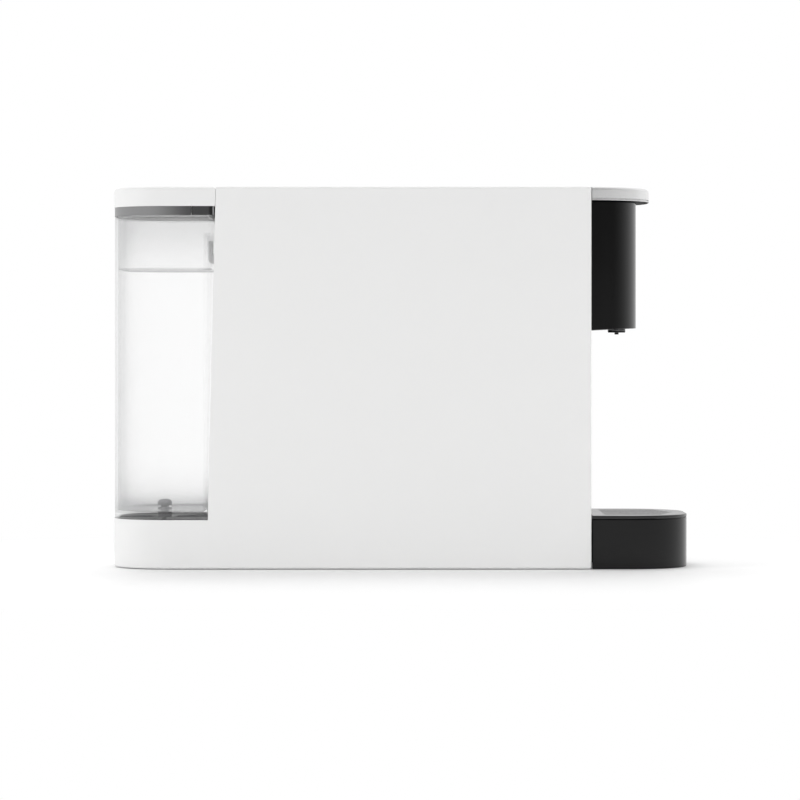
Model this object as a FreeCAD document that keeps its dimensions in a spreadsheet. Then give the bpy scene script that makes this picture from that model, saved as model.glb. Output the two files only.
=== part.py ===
import FreeCAD, Part
import math
import os
import Sketcher

# Pod coffee machine, millimetres. +X is the front, where the spout is, +Z is up, and the origin is on the
# table under the middle of the machine.

os.makedirs("parts", exist_ok=True)
doc = FreeCAD.newDocument("pod_coffee_machine")
sheet = doc.addObject("Spreadsheet::Sheet", "sizes")
Vector = FreeCAD.Vector
nodes = []


class Size:
    """A length held as an expression on the sheet, with its present value."""

    def __init__(self, text, value):
        self.text = text
        self.value = value

    def __add__(self, other):
        other = as_size(other)
        return Size(f"({self.text} + {other.text})", self.value + other.value)

    def __sub__(self, other):
        other = as_size(other)
        return Size(f"({self.text} - {other.text})", self.value - other.value)

    def __mul__(self, other):
        other = as_size(other)
        return Size(f"({self.text} * {other.text})", self.value * other.value)

    def __truediv__(self, other):
        other = as_size(other)
        return Size(f"({self.text} / {other.text})", self.value / other.value)

    def __neg__(self):
        return Size(f"(0 - {self.text})", -self.value)


def as_size(number):
    """Let plain numbers stand beside sizes."""
    if isinstance(number, Size):
        return number
    return Size(f"({number})", float(number))


def size(alias, value):
    """Write one driving dimension to the sheet and give it back as an expression."""
    row = len(size.rows) + 1
    size.rows.append(alias)
    sheet.set(f"A{row}", alias)
    sheet.set(f"B{row}", str(value))
    sheet.setAlias(f"B{row}", alias)
    sheet.recompute()
    return Size(f"sizes.{alias}", float(sheet.get(alias)))


size.rows = []


def circle(across, along, radius):
    """A round outline for a sketch."""
    return {"centre": (as_size(across), as_size(along)), "radius": as_size(radius)}


def rectangle(low_x, high_x, low_y, high_y, radius=None):
    """Corners of a rectangle, rounded where a radius is given."""
    corners = [(low_x, low_y), (high_x, low_y), (high_x, high_y), (low_x, high_y)]
    if radius is None:
        return corners
    return [corner + (radius,) for corner in corners]


def bind(sketch, kind, edge, point, value):
    """Hold one coordinate of a point at a size."""
    number = sketch.addConstraint(Sketcher.Constraint(kind, -1, 1, edge, point, value.value))
    sketch.setExpression(f"Constraints[{number}]", value.text)


def bind_radius(sketch, edge, value):
    """Hold the radius of an arc or circle at a size."""
    number = sketch.addConstraint(Sketcher.Constraint("Radius", edge, value.value))
    sketch.setExpression(f"Constraints[{number}]", value.text)


def draw_circle(sketch, shape):
    """Draw a bound circle."""
    across, along = shape["centre"]
    middle = Vector(across.value, along.value, 0)
    edge = sketch.addGeometry(Part.Circle(middle, Vector(0, 0, 1), shape["radius"].value))
    bind(sketch, "DistanceX", edge, 3, across)
    bind(sketch, "DistanceY", edge, 3, along)
    bind_radius(sketch, edge, shape["radius"])


def run_kind(start, end):
    """Say whether the run between two corners is upright, level or slanted."""
    if start[0].text == end[0].text:
        return "Vertical"
    if start[1].text == end[1].text:
        return "Horizontal"
    return "slanted"


def draw_corners(sketch, corners):
    """Draw a bound closed outline. Each corner is (x, y) or (x, y, radius between level and upright runs)."""
    points = [tuple(as_size(part) for part in corner) for corner in corners]
    places = [Vector(point[0].value, point[1].value, 0) for point in points]
    count = len(points)
    ways = [(places[(i + 1) % count] - places[i]).normalize() for i in range(count)]
    kinds = [run_kind(points[i], points[(i + 1) % count]) for i in range(count)]
    reach = [point[2].value if len(point) > 2 else 0 for point in points]
    runs = []
    for i in range(count):
        after = (i + 1) % count
        start = places[i] + ways[i] * reach[i]
        end = places[after] - ways[i] * reach[after]
        runs.append(sketch.addGeometry(Part.LineSegment(start, end)))
    for i in range(count):
        before = i - 1
        if reach[i]:
            round_corner(sketch, points[i], places[i], ways[before], ways[i], runs[before], runs[i])
        else:
            sketch.addConstraint(Sketcher.Constraint("Coincident", runs[before], 2, runs[i], 1))
    for i in range(count):
        pair = {kinds[i - 1], kinds[i]}
        if kinds[i] != "slanted":
            sketch.addConstraint(Sketcher.Constraint(kinds[i], runs[i]))
            axis = "DistanceX" if kinds[i] == "Vertical" else "DistanceY"
            bind(sketch, axis, runs[i], 1, points[i][0] if kinds[i] == "Vertical" else points[i][1])
        if "slanted" in pair:
            if "Vertical" not in pair:
                bind(sketch, "DistanceX", runs[i], 1, points[i][0])
            if "Horizontal" not in pair:
                bind(sketch, "DistanceY", runs[i], 1, points[i][1])


def round_corner(sketch, point, place, way_in, way_out, run_in, run_out):
    """Put a tangent arc between a level and an upright run."""
    radius = point[2].value
    first = place - way_in * radius
    last = place + way_out * radius
    middle = first + way_out * radius
    left_turn = way_in.x * way_out.y - way_in.y * way_out.x > 0
    start, end = (first, last) if left_turn else (last, first)
    angles = [math.atan2(spot.y - middle.y, spot.x - middle.x) for spot in (start, end)]
    ring = Part.Circle(middle, Vector(0, 0, 1), radius)
    arc = sketch.addGeometry(Part.ArcOfCircle(ring, angles[0], angles[1]))
    begin, finish = (1, 2) if left_turn else (2, 1)
    sketch.addConstraint(Sketcher.Constraint("Tangent", run_in, 2, arc, begin))
    sketch.addConstraint(Sketcher.Constraint("Tangent", arc, finish, run_out, 1))
    bind_radius(sketch, arc, point[2])


class Piece:
    """A body made of sketched features, each between two levels along the axis across its sketch."""

    def __init__(self, label):
        self.body = doc.addObject("PartDesign::Body", label)
        self.label = label
        self.count = 0

    def sketch(self, plane, offset, outlines):
        self.count += 1
        sketch = self.body.newObject("Sketcher::SketchObject", f"{self.label}_sketch_{self.count}")
        support = [part for part in self.body.Origin.OriginFeatures if part.Role == plane + "_Plane"]
        sketch.AttachmentSupport = [(support[0], "")]
        sketch.MapMode = "FlatFace"
        for axis, distance in zip("xyz", offset):
            sketch.setExpression(f"AttachmentOffset.Base.{axis}", as_size(distance).text)
        for outline in outlines:
            if isinstance(outline, dict):
                draw_circle(sketch, outline)
            else:
                draw_corners(sketch, outline)
        return sketch

    def feature(self, kind, sketch):
        made = self.body.newObject(kind, f"{self.label}_feature_{self.count}")
        made.Profile = sketch
        return made

    def pad(self, plane, low, high, *outlines):
        """Add material from low to high. A sketch on XZ looks along +Y, so its offset runs backwards."""
        start = -as_size(high) if plane == "XZ" else as_size(low)
        made = self.feature("PartDesign::Pad", self.sketch(plane, (0, 0, start), outlines))
        made.setExpression("Length", (as_size(high) - low).text)
        return self

    def pocket(self, plane, low, high, *outlines):
        """Take material away from low to high."""
        start = -as_size(low) if plane == "XZ" else as_size(high)
        made = self.feature("PartDesign::Pocket", self.sketch(plane, (0, 0, start), outlines))
        made.setExpression("Length", (as_size(high) - low).text)
        return self

    def turn(self, across, along, axis, *outlines):
        """Revolve an outline on XZ about its upright axis (V) or its level axis (H) through a point."""
        sketch = self.sketch("XZ", (across, along, 0), outlines)
        made = self.feature("PartDesign::Revolution", sketch)
        made.ReferenceAxis = (sketch, [axis + "_Axis"])
        made.Angle = 360
        return self

    def soften(self, radius, wanted):
        """Round the edges that the rule picks."""
        doc.recompute()
        shape = self.body.Tip.Shape
        names = [f"Edge{i + 1}" for i, edge in enumerate(shape.Edges) if wanted(edge)]
        tip = self.body.Tip
        self.count += 1
        made = self.body.newObject("PartDesign::Fillet", f"{self.label}_round_{self.count}")
        made.Base = (tip, names)
        made.setExpression("Radius", as_size(radius).text)
        return self

    def keep(self):
        """Hand the body over as a finished piece."""
        nodes.append(self.body)
        return self.body


def place(item, across, depth, up):
    """Bind an object's place."""
    for axis, distance in zip("xyz", (across, depth, up)):
        item.setExpression(f"Placement.Base.{axis}", as_size(distance).text)


def box(low_x, high_x, low_y, high_y, low_z, high_z):
    """A block between six bound faces."""
    item = doc.addObject("Part::Box", "block")
    item.setExpression("Length", (as_size(high_x) - low_x).text)
    item.setExpression("Width", (as_size(high_y) - low_y).text)
    item.setExpression("Height", (as_size(high_z) - low_z).text)
    place(item, low_x, low_y, low_z)
    return item


def rod(axis, low, high, first, second, radius):
    """A round bar along X, Y or Z. First and second are its other two coordinates, in X, Y, Z order."""
    item = doc.addObject("Part::Cylinder", "bar")
    item.setExpression("Radius", as_size(radius).text)
    item.setExpression("Height", (as_size(high) - low).text)
    spin = {"X": FreeCAD.Rotation(Vector(0, 1, 0), 90), "Y": FreeCAD.Rotation(Vector(1, 0, 0), -90),
            "Z": FreeCAD.Rotation()}
    item.Placement = FreeCAD.Placement(Vector(), spin[axis])
    spots = {"X": (low, first, second), "Y": (first, low, second), "Z": (first, second, low)}
    place(item, *spots[axis])
    return item


def fuse(*items):
    """Join solids, or hold separate ones together as a group."""
    joined = doc.addObject("Part::MultiFuse", "joined")
    joined.Shapes = list(items)
    return joined


def cut(base, *tools):
    """Take tools away from a solid."""
    result = doc.addObject("Part::Cut", "cut")
    result.Base = base
    result.Tool = tools[0] if len(tools) == 1 else fuse(*tools)
    return result


def keep(item, label):
    """Hand an object over as a finished piece."""
    item.Label = label
    nodes.append(item)
    return item


def shaped(label, shape):
    """A piece whose form follows a formula."""
    item = doc.addObject("Part::Feature", label)
    item.Shape = shape
    return keep(item, label)


# Driving dimensions of the case

overall_length = size("overall_length", 391.8)
overall_width = size("overall_width", 115)
overall_height = size("overall_height", 258)
tray_depth = size("tray_depth", 67.4)
case_lift = size("case_lift", 0.5)
case_wall = size("case_wall", 2.5)
rear_corner = size("rear_corner", 37)
front_corner = size("front_corner", 3)
case_corner = size("case_corner", 1.5)
edge_round = size("edge_round", 1.6)
top_return = size("top_return", 8)
ledge_width = size("ledge_width", 4)
ledge_depth = size("ledge_depth", 2.5)
front_lip = size("front_lip", 8)
shelf_top = size("shelf_top", 33.4)
bay_depth_low = size("bay_depth_low", 65.9)
bay_slope = size("bay_slope", 5.4)
seam_gap = size("seam_gap", 0.5)

rear = -(overall_length / 2)
nose = overall_length / 2
front = nose - tray_depth
half_width = overall_width / 2
inner_half = half_width - case_wall
inner_front = front - case_wall
mouth_half = half_width - front_lip
top_half = half_width - top_return
top_under = overall_height - case_wall
ledge_under = top_under - ledge_depth
bay_low = rear + bay_depth_low
bay_high = bay_low + bay_slope
bay_lean = (bay_high - bay_low) / (overall_height - shelf_top)


def bay_edge(level):
    """Place of the slanted edge of the tank bay at a height."""
    return bay_low + (as_size(level) - shelf_top) * bay_lean


def bullet(inset, face, corner=None):
    """Plan of the case and tank: square at the front, large round corners at the rear."""
    back = rear + inset
    side = half_width - inset
    turn = rear_corner - inset
    ends = [(face, -side), (face, side)]
    if corner is not None:
        ends = [end + (corner,) for end in ends]
    return ends + [(back, side, turn), (back, -side, turn)]


def dee(back, tip, side, corner):
    """Plan of the pieces at the front: square at the back, large round corners at the tip."""
    return [(back, -side), (tip, -side, corner), (tip, side, corner), (back, side)]


def level_edge(level):
    """A rule that picks the edges lying at a height."""
    def wanted(edge):
        return all(abs(point.Point.z - level.value) < 1e-6 for point in edge.Vertexes)
    return wanted


# Lever, hinge and toothed drive

lever_thickness = size("lever_thickness", 8.9)
lever_reach = size("lever_reach", 42)
lever_inset = size("lever_inset", 1)
lever_flat = size("lever_flat", 13)
lever_round = size("lever_round", 2.2)
hinge_setback = size("hinge_setback", 69)
pin_radius = size("pin_radius", 1.6)
pin_clearance = size("pin_clearance", 0.05)
gear_module = size("gear_module", 1.6)
sector_teeth = size("sector_teeth", 20)
tooth_backlash = size("tooth_backlash", 0.25)

lever_low = overall_height - lever_thickness
hinge_x = front - hinge_setback
hinge_z = overall_height - lever_thickness / 2
barrel = lever_thickness / 2
lever_back = hinge_x - barrel
lever_tip = front + lever_reach
pitch_radius = gear_module * sector_teeth / 2
rack_pitch_z = hinge_z - pitch_radius
ledge_end = lever_back - seam_gap * 8

# Outer case: two white side mouldings and the low wall that joins them round the rear

gland_height = size("gland_height", 17)
gland_radius = size("gland_radius", 5.5)


def across(hand, near, far):
    """Two places across the machine on one side, the lower first."""
    if hand < 0:
        return -as_size(far), -as_size(near)
    return as_size(near), as_size(far)


ledge_half = top_half - ledge_width


def outer_edge(edge):
    """A rule that picks the top and bottom edges on the outside of a side moulding."""
    level = level_edge(overall_height)(edge) or level_edge(case_lift)(edge)
    box = edge.BoundBox
    on_side = max(abs(box.YMin), abs(box.YMax)) > half_width.value - 1e-6
    return level and (on_side or box.XMax > front.value - 1e-6) and box.XMax > bay_low.value + 1


for name, hand in (("case_side_left", -1), ("case_side_right", 1)):
    outer_y = half_width * hand
    block = [(bay_low, ledge_half * hand), (front, ledge_half * hand), (front, outer_y, case_corner),
             (bay_low, outer_y)]
    case = Piece(name)
    case.pad("XY", case_lift, overall_height, block if hand > 0 else block[::-1])
    case.soften(edge_round, outer_edge)
    case.pocket("XY", case_lift, ledge_under, rectangle(bay_low, inner_front, *across(hand, ledge_half, inner_half)))
    case.pocket("XY", top_under, overall_height, rectangle(bay_low, front, *across(hand, ledge_half, top_half)))
    case.pocket("XY", ledge_under, top_under,
                rectangle(ledge_end, inner_front, *across(hand, ledge_half, inner_half)))
    case.pocket("YZ", inner_front, front, rectangle(*across(hand, ledge_half, mouth_half), case_lift, overall_height))
    case.pocket("XZ", *across(hand, ledge_half, half_width),
                [(bay_low, shelf_top), (bay_high, overall_height), (bay_low, overall_height)])
    case.keep()

skirt = Piece("case_rear")
skirt.pad("XY", case_lift, shelf_top, bullet(0, bay_low))
skirt.soften(edge_round, lambda edge: level_edge(case_lift)(edge) and edge.BoundBox.XMin < bay_low.value - 1)
skirt.pocket("XY", case_lift, shelf_top, bullet(case_wall, bay_low))
skirt.pocket("YZ", rear, rear + case_wall, circle(0, gland_height, gland_radius))
skirt.keep()

# Base plate, with holes for the feet and the screws

plate_recess = size("plate_recess", 1)
plate_thickness = size("plate_thickness", 3)
foot_radius = size("foot_radius", 6.8)
foot_stem = size("foot_stem", 3)
foot_inset = size("foot_inset", 12.5)
foot_rear = size("foot_rear", 77)
foot_front = size("foot_front", 19)
screw_radius = size("screw_radius", 1.5)
screw_head = size("screw_head", 3)
screw_head_height = size("screw_head_height", 1)
leg_size = size("leg_size", 9)
leg_inset = size("leg_inset", 15.5)
leg_rear = size("leg_rear", 90)
leg_spacing = size("leg_spacing", 100)

plate_low = case_lift + plate_recess
plate_top = plate_low + plate_thickness
foot_y = half_width - foot_inset
leg_y = half_width - leg_inset
foot_spots = [(x, y) for x in (rear + foot_rear, front - foot_front) for y in (-foot_y, foot_y)]
leg_spots = [(x, y) for x in (rear + leg_rear, rear + leg_rear + leg_spacing) for y in (-leg_y, leg_y)]

plate = Piece("base_plate")
plate.pad("XY", plate_low, plate_top, bullet(case_wall, inner_front))
plate.pocket("XY", plate_low, plate_top, *[circle(x, y, foot_stem) for x, y in foot_spots])
plate.pocket("XY", plate_low, plate_top, *[circle(x, y, screw_radius) for x, y in leg_spots])
plate.keep()

feet = []
for x, y in foot_spots:
    feet.append(fuse(rod("Z", 0, plate_low, x, y, foot_radius), rod("Z", plate_low, plate_top, x, y, foot_stem)))
keep(fuse(*feet), "rubber_feet")

# Inner shelf on four legs, screwed from below

shelf_height = size("shelf_height", 80)
shelf_thickness = size("shelf_thickness", 3)
shelf_rear_gap = size("shelf_rear_gap", 83)
shelf_length = size("shelf_length", 126)
shelf_inset = size("shelf_inset", 7.5)
screw_depth = size("screw_depth", 12)
stub_radius = size("stub_radius", 3)
stub_bore = size("stub_bore", 1.8)
hose_wall = size("hose_wall", 1.4)
riser_inset = size("riser_inset", 9)

inner_low = shelf_height
inner_top = shelf_height + shelf_thickness
inner_rear = rear + shelf_rear_gap
inner_end = inner_rear + shelf_length
riser_x = inner_end - riser_inset
shelf_half = half_width - shelf_inset

inner = Piece("inner_shelf")
inner.pad("XY", inner_low, inner_top, rectangle(inner_rear, inner_end, -shelf_half, shelf_half, front_corner))
for x, y in leg_spots:
    inner.pad("XY", plate_top, inner_low, rectangle(x - leg_size / 2, x + leg_size / 2, y - leg_size / 2,
                                                    y + leg_size / 2))
inner.pocket("XY", plate_top, plate_top + screw_depth, *[circle(x, y, screw_radius) for x, y in leg_spots])
inner.pocket("XY", inner_low, inner_top, circle(riser_x, 0, stub_radius + hose_wall + seam_gap))
inner.keep()

screws = []
for x, y in leg_spots:
    screws.append(fuse(rod("Z", plate_low - screw_head_height, plate_low, x, y, screw_head),
                       rod("Z", plate_low, plate_top + screw_depth, x, y, screw_radius)))
keep(fuse(*screws), "case_screws")

# Tank bay: shelf under the tank and the slanted bulkhead behind it

bulkhead_set = size("bulkhead_set", 2)
valve_setback = size("valve_setback", 32.7)
spigot_radius = size("spigot_radius", 9)
hose_level = size("hose_level", 19)

valve_x = bay_low - valve_setback
shelf_under = shelf_top - case_wall


def bulkhead(level):
    """Place of the bulkhead's tank side at a height."""
    return bay_edge(level) + bulkhead_set


ledge = Piece("tank_shelf")
ledge.pad("XY", shelf_under, shelf_top, bullet(case_wall, bulkhead(shelf_under)))
ledge.pocket("XY", shelf_under, shelf_top, circle(valve_x, 0, spigot_radius))
ledge.keep()

wall = Piece("tank_bulkhead")
wall.pad("XZ", -inner_half, inner_half, [(bulkhead(plate_top), plate_top),
                                         (bulkhead(plate_top) + case_wall, plate_top),
                                         (bulkhead(ledge_under) + case_wall, ledge_under),
                                         (bulkhead(ledge_under), ledge_under)])
wall.pocket("YZ", bulkhead(plate_top) - case_wall, bulkhead(shelf_top) + case_wall * 2,
            circle(0, hose_level, stub_radius + seam_gap))
wall.keep()

# Catch on the bulkhead, a hook that the tank's tab drops into

catch_drop = size("catch_drop", 50.6)
catch_rise = size("catch_rise", 15.4)
catch_floor = size("catch_floor", 6.4)
catch_wall = size("catch_wall", 2.5)
catch_width = size("catch_width", 12)
catch_corner = size("catch_corner", 3)
tank_gap = size("tank_gap", 1)
tab_thickness = size("tab_thickness", 2.5)

catch_low = overall_height - catch_drop
tank_face_at_catch = bay_edge(catch_low) - tank_gap
tab_back = tank_face_at_catch - tab_thickness
catch_top = catch_low + catch_rise
catch_seat = catch_low + catch_floor
catch_front = tab_back - seam_gap
catch_back = catch_front - catch_wall

catch = Piece("tank_catch")
catch.pad("XZ", -catch_width / 2, catch_width / 2,
          [(catch_back, catch_low, catch_corner), (bulkhead(catch_low), catch_low), (bulkhead(catch_seat), catch_seat),
           (catch_front, catch_seat), (catch_front, catch_top), (catch_back, catch_top)])
catch.keep()

# Spigot under the tank, its seal, the flow meter and the hoses to the pump

nipple_radius = size("nipple_radius", 6)
nipple_clearance = size("nipple_clearance", 0.4)
nipple_length = size("nipple_length", 5.4)
seal_height = size("seal_height", 2)
seal_width = size("seal_width", 2)
spigot_flange = size("spigot_flange", 12)
spigot_bottom = size("spigot_bottom", 13)
throat_radius = size("throat_radius", 2.6)
prong_radius = size("prong_radius", 1.1)
prong_gap = size("prong_gap", 0.2)
stub_length = size("stub_length", 6)
meter_radius = size("meter_radius", 6)
meter_height = size("meter_height", 18)

spigot_bore = nipple_radius + nipple_clearance
nipple_low = shelf_top - nipple_length
spigot_floor = nipple_low - seal_height
stem_low = nipple_low + nipple_length / 2
spigot_end = valve_x + spigot_radius + stub_length

spigot_outside = fuse(rod("Z", spigot_bottom, shelf_top, valve_x, 0, spigot_radius),
                      rod("Z", shelf_under - case_wall, shelf_under, valve_x, 0, spigot_flange),
                      rod("X", valve_x, spigot_end, 0, hose_level, stub_radius))
spigot_hollow = cut(spigot_outside, rod("Z", spigot_floor, shelf_top, valve_x, 0, spigot_bore),
                    rod("Z", hose_level - stub_bore, spigot_floor, valve_x, 0, throat_radius),
                    rod("X", valve_x, spigot_end, 0, hose_level, stub_bore))
keep(fuse(spigot_hollow, rod("Z", spigot_bottom, stem_low - prong_gap, valve_x, 0, prong_radius)), "tank_spigot")

keep(cut(rod("Z", spigot_floor, nipple_low, valve_x, 0, spigot_bore),
         rod("Z", spigot_floor, nipple_low, valve_x, 0, spigot_bore - seal_width)), "spigot_seal")

meter_x = spigot_end + stub_length + meter_radius
meter_end = bulkhead(hose_level) + case_wall + stub_length * 2
keep(fuse(rod("Z", plate_top, plate_top + meter_height, meter_x, 0, meter_radius),
          rod("X", spigot_end, meter_x, 0, hose_level, stub_radius),
          rod("X", meter_x, meter_end, 0, hose_level, stub_radius)), "flow_meter")

keep(cut(rod("X", spigot_end - stub_length + seam_gap, spigot_end + stub_length - seam_gap, 0, hose_level,
             stub_radius + hose_wall),
         rod("X", spigot_end - stub_length, spigot_end + stub_length, 0, hose_level, stub_radius)), "inlet_hose")

# Pump on rubber mounts, and the hoses held between fixed stubs

mount_gap = size("mount_gap", 1)
pump_level = size("pump_level", 34)
coil_length = size("coil_length", 42)
coil_size = size("coil_size", 44)
pump_neck = size("pump_neck", 9)
mount_length = size("mount_length", 8)
mount_width = size("mount_width", 40)
mount_crown = size("mount_crown", 16)
hose_bend = size("hose_bend", 10)

pump_end = riser_x - hose_bend - stub_length
coil_end = pump_end - mount_length - mount_gap
coil_start = coil_end - coil_length
pump_start = coil_start - mount_gap - mount_length

coil = Piece("pump_coil")
coil.pad("YZ", coil_start, coil_end, rectangle(-coil_size / 2, coil_size / 2, pump_level - coil_size / 2,
                                               pump_level + coil_size / 2, front_corner))
coil.pocket("YZ", coil_start, coil_end, circle(0, pump_level, pump_neck))
coil.keep()

keep(fuse(rod("X", pump_start, pump_end, 0, pump_level, pump_neck),
          rod("X", pump_start - stub_length, pump_start, 0, pump_level, stub_radius),
          rod("X", pump_end, pump_end + stub_length, 0, pump_level, stub_radius)), "pump_body")

mount_half = mount_width / 2
mount_blocks = [box(x, x + mount_length, -mount_half, mount_half, plate_top, pump_level + mount_crown)
                for x in (pump_start, pump_end - mount_length)]
keep(cut(fuse(*mount_blocks), rod("X", pump_start, pump_end, 0, pump_level, pump_neck)), "pump_mounts")


def bent_path(points, radius):
    """Straight runs joined by tangent arcs of one radius."""
    edges = []
    last = points[0]
    for before, corner, after in zip(points, points[1:], points[2:]):
        way_in = (corner - before).normalize()
        way_out = (after - corner).normalize()
        half_turn = way_in.getAngle(way_out) / 2
        reach = radius * math.tan(half_turn)
        begin = corner - way_in * reach
        end = corner + way_out * reach
        inward = (way_out - way_in).normalize()
        middle = corner + inward * (radius / math.cos(half_turn) - radius)
        edges.append(Part.LineSegment(last, begin).toShape())
        edges.append(Part.Arc(begin, middle, end).toShape())
        last = end
    edges.append(Part.LineSegment(last, points[-1]).toShape())
    return Part.Wire(edges)


def hose(label, points, radius, bore):
    """A hose along straight runs and arcs in the middle plane, with a socket at each end."""
    spots = [Vector(across.value, 0, up.value) for across, up in points]
    path = bent_path(spots, hose_bend.value)
    way = (spots[1] - spots[0]).normalize()
    section = Part.Wire(Part.makeCircle(radius.value, spots[0], way))
    tube = path.makePipeShell([section], True, False)
    for end, inside in ((spots[0], spots[1]), (spots[-1], spots[-2])):
        socket = Part.makeCylinder(bore.value, stub_length.value, end, (inside - end).normalize())
        tube = tube.cut(socket)
    shaped(label, tube)


hose("suction_hose", [(meter_end - stub_length, hose_level), (meter_end + stub_length, hose_level),
                      (pump_start - stub_length * 2, pump_level), (pump_start, pump_level)],
     stub_radius + hose_wall, stub_radius)

# Heater block on the inner shelf

heater_length = size("heater_length", 72)
heater_width = size("heater_width", 54)
heater_height = size("heater_height", 46)
fin_count = 7
fin_groove = size("fin_groove", 3)
fin_pitch = size("fin_pitch", 9)
fin_depth = size("fin_depth", 5)
heater_inlet = size("heater_inlet", 14)
heater_outlet = size("heater_outlet", 20)

heater_end = riser_x - hose_bend - stub_length
heater_start = heater_end - heater_length
heater_top = inner_top + heater_height
inlet_z = inner_top + heater_inlet
outlet_x = heater_end - heater_outlet

heater = Piece("heater_block")
heater.pad("XY", inner_top, heater_top, rectangle(heater_start, heater_end, -heater_width / 2, heater_width / 2,
                                                  front_corner))
grooves = []
for number in range(fin_count):
    groove_x = heater_start + fin_pitch * (number + 0.5)
    grooves.append(rectangle(groove_x, groove_x + fin_groove, heater_width / 2 - fin_depth, heater_width / 2))
    grooves.append(rectangle(groove_x, groove_x + fin_groove, -heater_width / 2, fin_depth - heater_width / 2))
heater.pocket("XY", inner_top + fin_depth, heater_top, *grooves)
heater.pad("YZ", heater_end, heater_end + stub_length, circle(0, inlet_z, stub_radius))
heater.pad("XY", heater_top, heater_top + stub_length, circle(outlet_x, 0, stub_radius))
heater.keep()

hose("pressure_hose", [(pump_end, pump_level), (riser_x, pump_level), (riser_x, inlet_z), (heater_end, inlet_z)],
     stub_radius + hose_wall, stub_radius)

# Control board, standing on the shelf, with its relay and capacitor

board_rear = size("board_rear", 108)
board_length = size("board_length", 80)
board_height = size("board_height", 84)
board_thickness = size("board_thickness", 1.6)
board_inset = size("board_inset", 10)
relay_length = size("relay_length", 28)
relay_height = size("relay_height", 15)
relay_depth = size("relay_depth", 10)
capacitor_radius = size("capacitor_radius", 6)
capacitor_length = size("capacitor_length", 9)

board_start = rear + board_rear
board_side = shelf_half - board_inset
board_top = inner_top + board_height
board_face = board_side - board_thickness
relay_low = heater_top + capacitor_radius

keep(box(board_start, board_start + board_length, board_face, board_side, inner_top, board_top), "control_board")
relay = box(board_start + relay_height, board_start + relay_height + relay_length, board_face - relay_depth, board_face,
            relay_low, relay_low + relay_height)
capacitor = rod("Y", board_face - capacitor_length, board_face, board_start + board_length - relay_height,
                relay_low + relay_height, capacitor_radius)
keep(fuse(relay, capacitor), "board_parts")

# Gland for the mains lead, flush in the rear wall

gland_flange = size("gland_flange", 8)
gland_length = size("gland_length", 8)
lead_radius = size("lead_radius", 3.6)

keep(cut(fuse(rod("X", rear, rear + gland_length, 0, gland_height, gland_radius),
              rod("X", rear + case_wall, rear + case_wall * 2, 0, gland_height, gland_flange)),
         rod("X", rear, rear + gland_length, 0, gland_height, lead_radius)), "lead_gland")

# Front panel, the black wall behind the cup, with the drawer's mouth below and the brew opening above

panel_thickness = size("panel_thickness", 4)
drawer_inset = size("drawer_inset", 3)
drawer_height = size("drawer_height", 126)
brew_half = size("brew_half", 38)
head_gap = size("head_gap", 0.6)
head_drop = size("head_drop", 87.2)
sill_rise = size("sill_rise", 2)
deck_drop = size("deck_drop", 5)
deck_thickness = size("deck_thickness", 3)

drawer_half = mouth_half - drawer_inset
deck_top = lever_low - deck_drop
deck_low = deck_top - deck_thickness
head_top = lever_low - head_gap
head_low = head_top - head_drop
brew_sill = head_low + sill_rise
panel_back = inner_front - panel_thickness
drawer_top = plate_top + drawer_height

panel = Piece("front_panel")
panel.pad("YZ", panel_back, inner_front, rectangle(-inner_half, inner_half, plate_top, deck_low))
panel.pocket("YZ", panel_back, inner_front, rectangle(-drawer_half, drawer_half, plate_top, drawer_top))
panel.pocket("YZ", panel_back, inner_front, rectangle(-brew_half, brew_half, brew_sill, deck_low))
panel.keep()

# Brew head cover, deck and spout

head_reach = size("head_reach", 32.6)
head_inset = size("head_inset", 1.5)
head_straight = size("head_straight", 2.1)
head_rake = size("head_rake", 1.5)
head_floor = size("head_floor", 3.2)
spout_reach = size("spout_reach", 20.4)
spout_radius = size("spout_radius", 6)
spout_tube = size("spout_tube", 3)
spout_bore = size("spout_bore", 1.8)
tip_bore = size("tip_bore", 0.8)
boss_drop = size("boss_drop", 0.5)
collar_height = size("collar_height", 0.5)
spout_height = size("spout_height", 1.3)
spout_round = size("spout_round", 0.5)
tip_drop = size("tip_drop", 1.3)
tip_radius = size("tip_radius", 1.4)

head_front = front + head_reach
head_half = mouth_half - head_inset
head_corner = head_front - inner_front - head_straight
floor_top = head_low + head_floor
spout_x = front + spout_reach
boss_low = head_low + boss_drop

head = Piece("brew_head_cover")
head.pad("XY", head_low, head_top, dee(inner_front, head_front, head_half, head_corner))
head.pocket("XY", floor_top, head_top, dee(inner_front, head_front - case_wall, head_half - case_wall,
                                           head_corner - case_wall))
head.pocket("XZ", -head_half, head_half, [(front, head_low), (head_front, head_low),
                                          (head_front, head_low + head_rake)])
head.pad("XY", boss_low, floor_top, circle(spout_x, 0, spout_radius))
head.pocket("XY", boss_low, floor_top, circle(spout_x, 0, spout_tube))
head.keep()

collar_low = boss_low - collar_height
spout_low = collar_low - spout_height
keep(cut(rod("Z", collar_low, boss_low, spout_x, 0, spout_radius),
         rod("Z", collar_low, boss_low, spout_x, 0, spout_tube)), "spout_collar")

spout = Piece("coffee_spout")
spout.turn(spout_x, 0, "V", [(tip_bore, spout_low - tip_drop), (tip_radius, spout_low - tip_drop),
                             (tip_radius, spout_low), (spout_radius, spout_low, spout_round),
                             (spout_radius, collar_low), (spout_tube, collar_low), (spout_tube, floor_top),
                             (spout_bore, floor_top), (spout_bore, collar_low), (tip_bore, collar_low)])
spout.keep()

# Brew axis, drive travel and the pod slot

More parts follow.
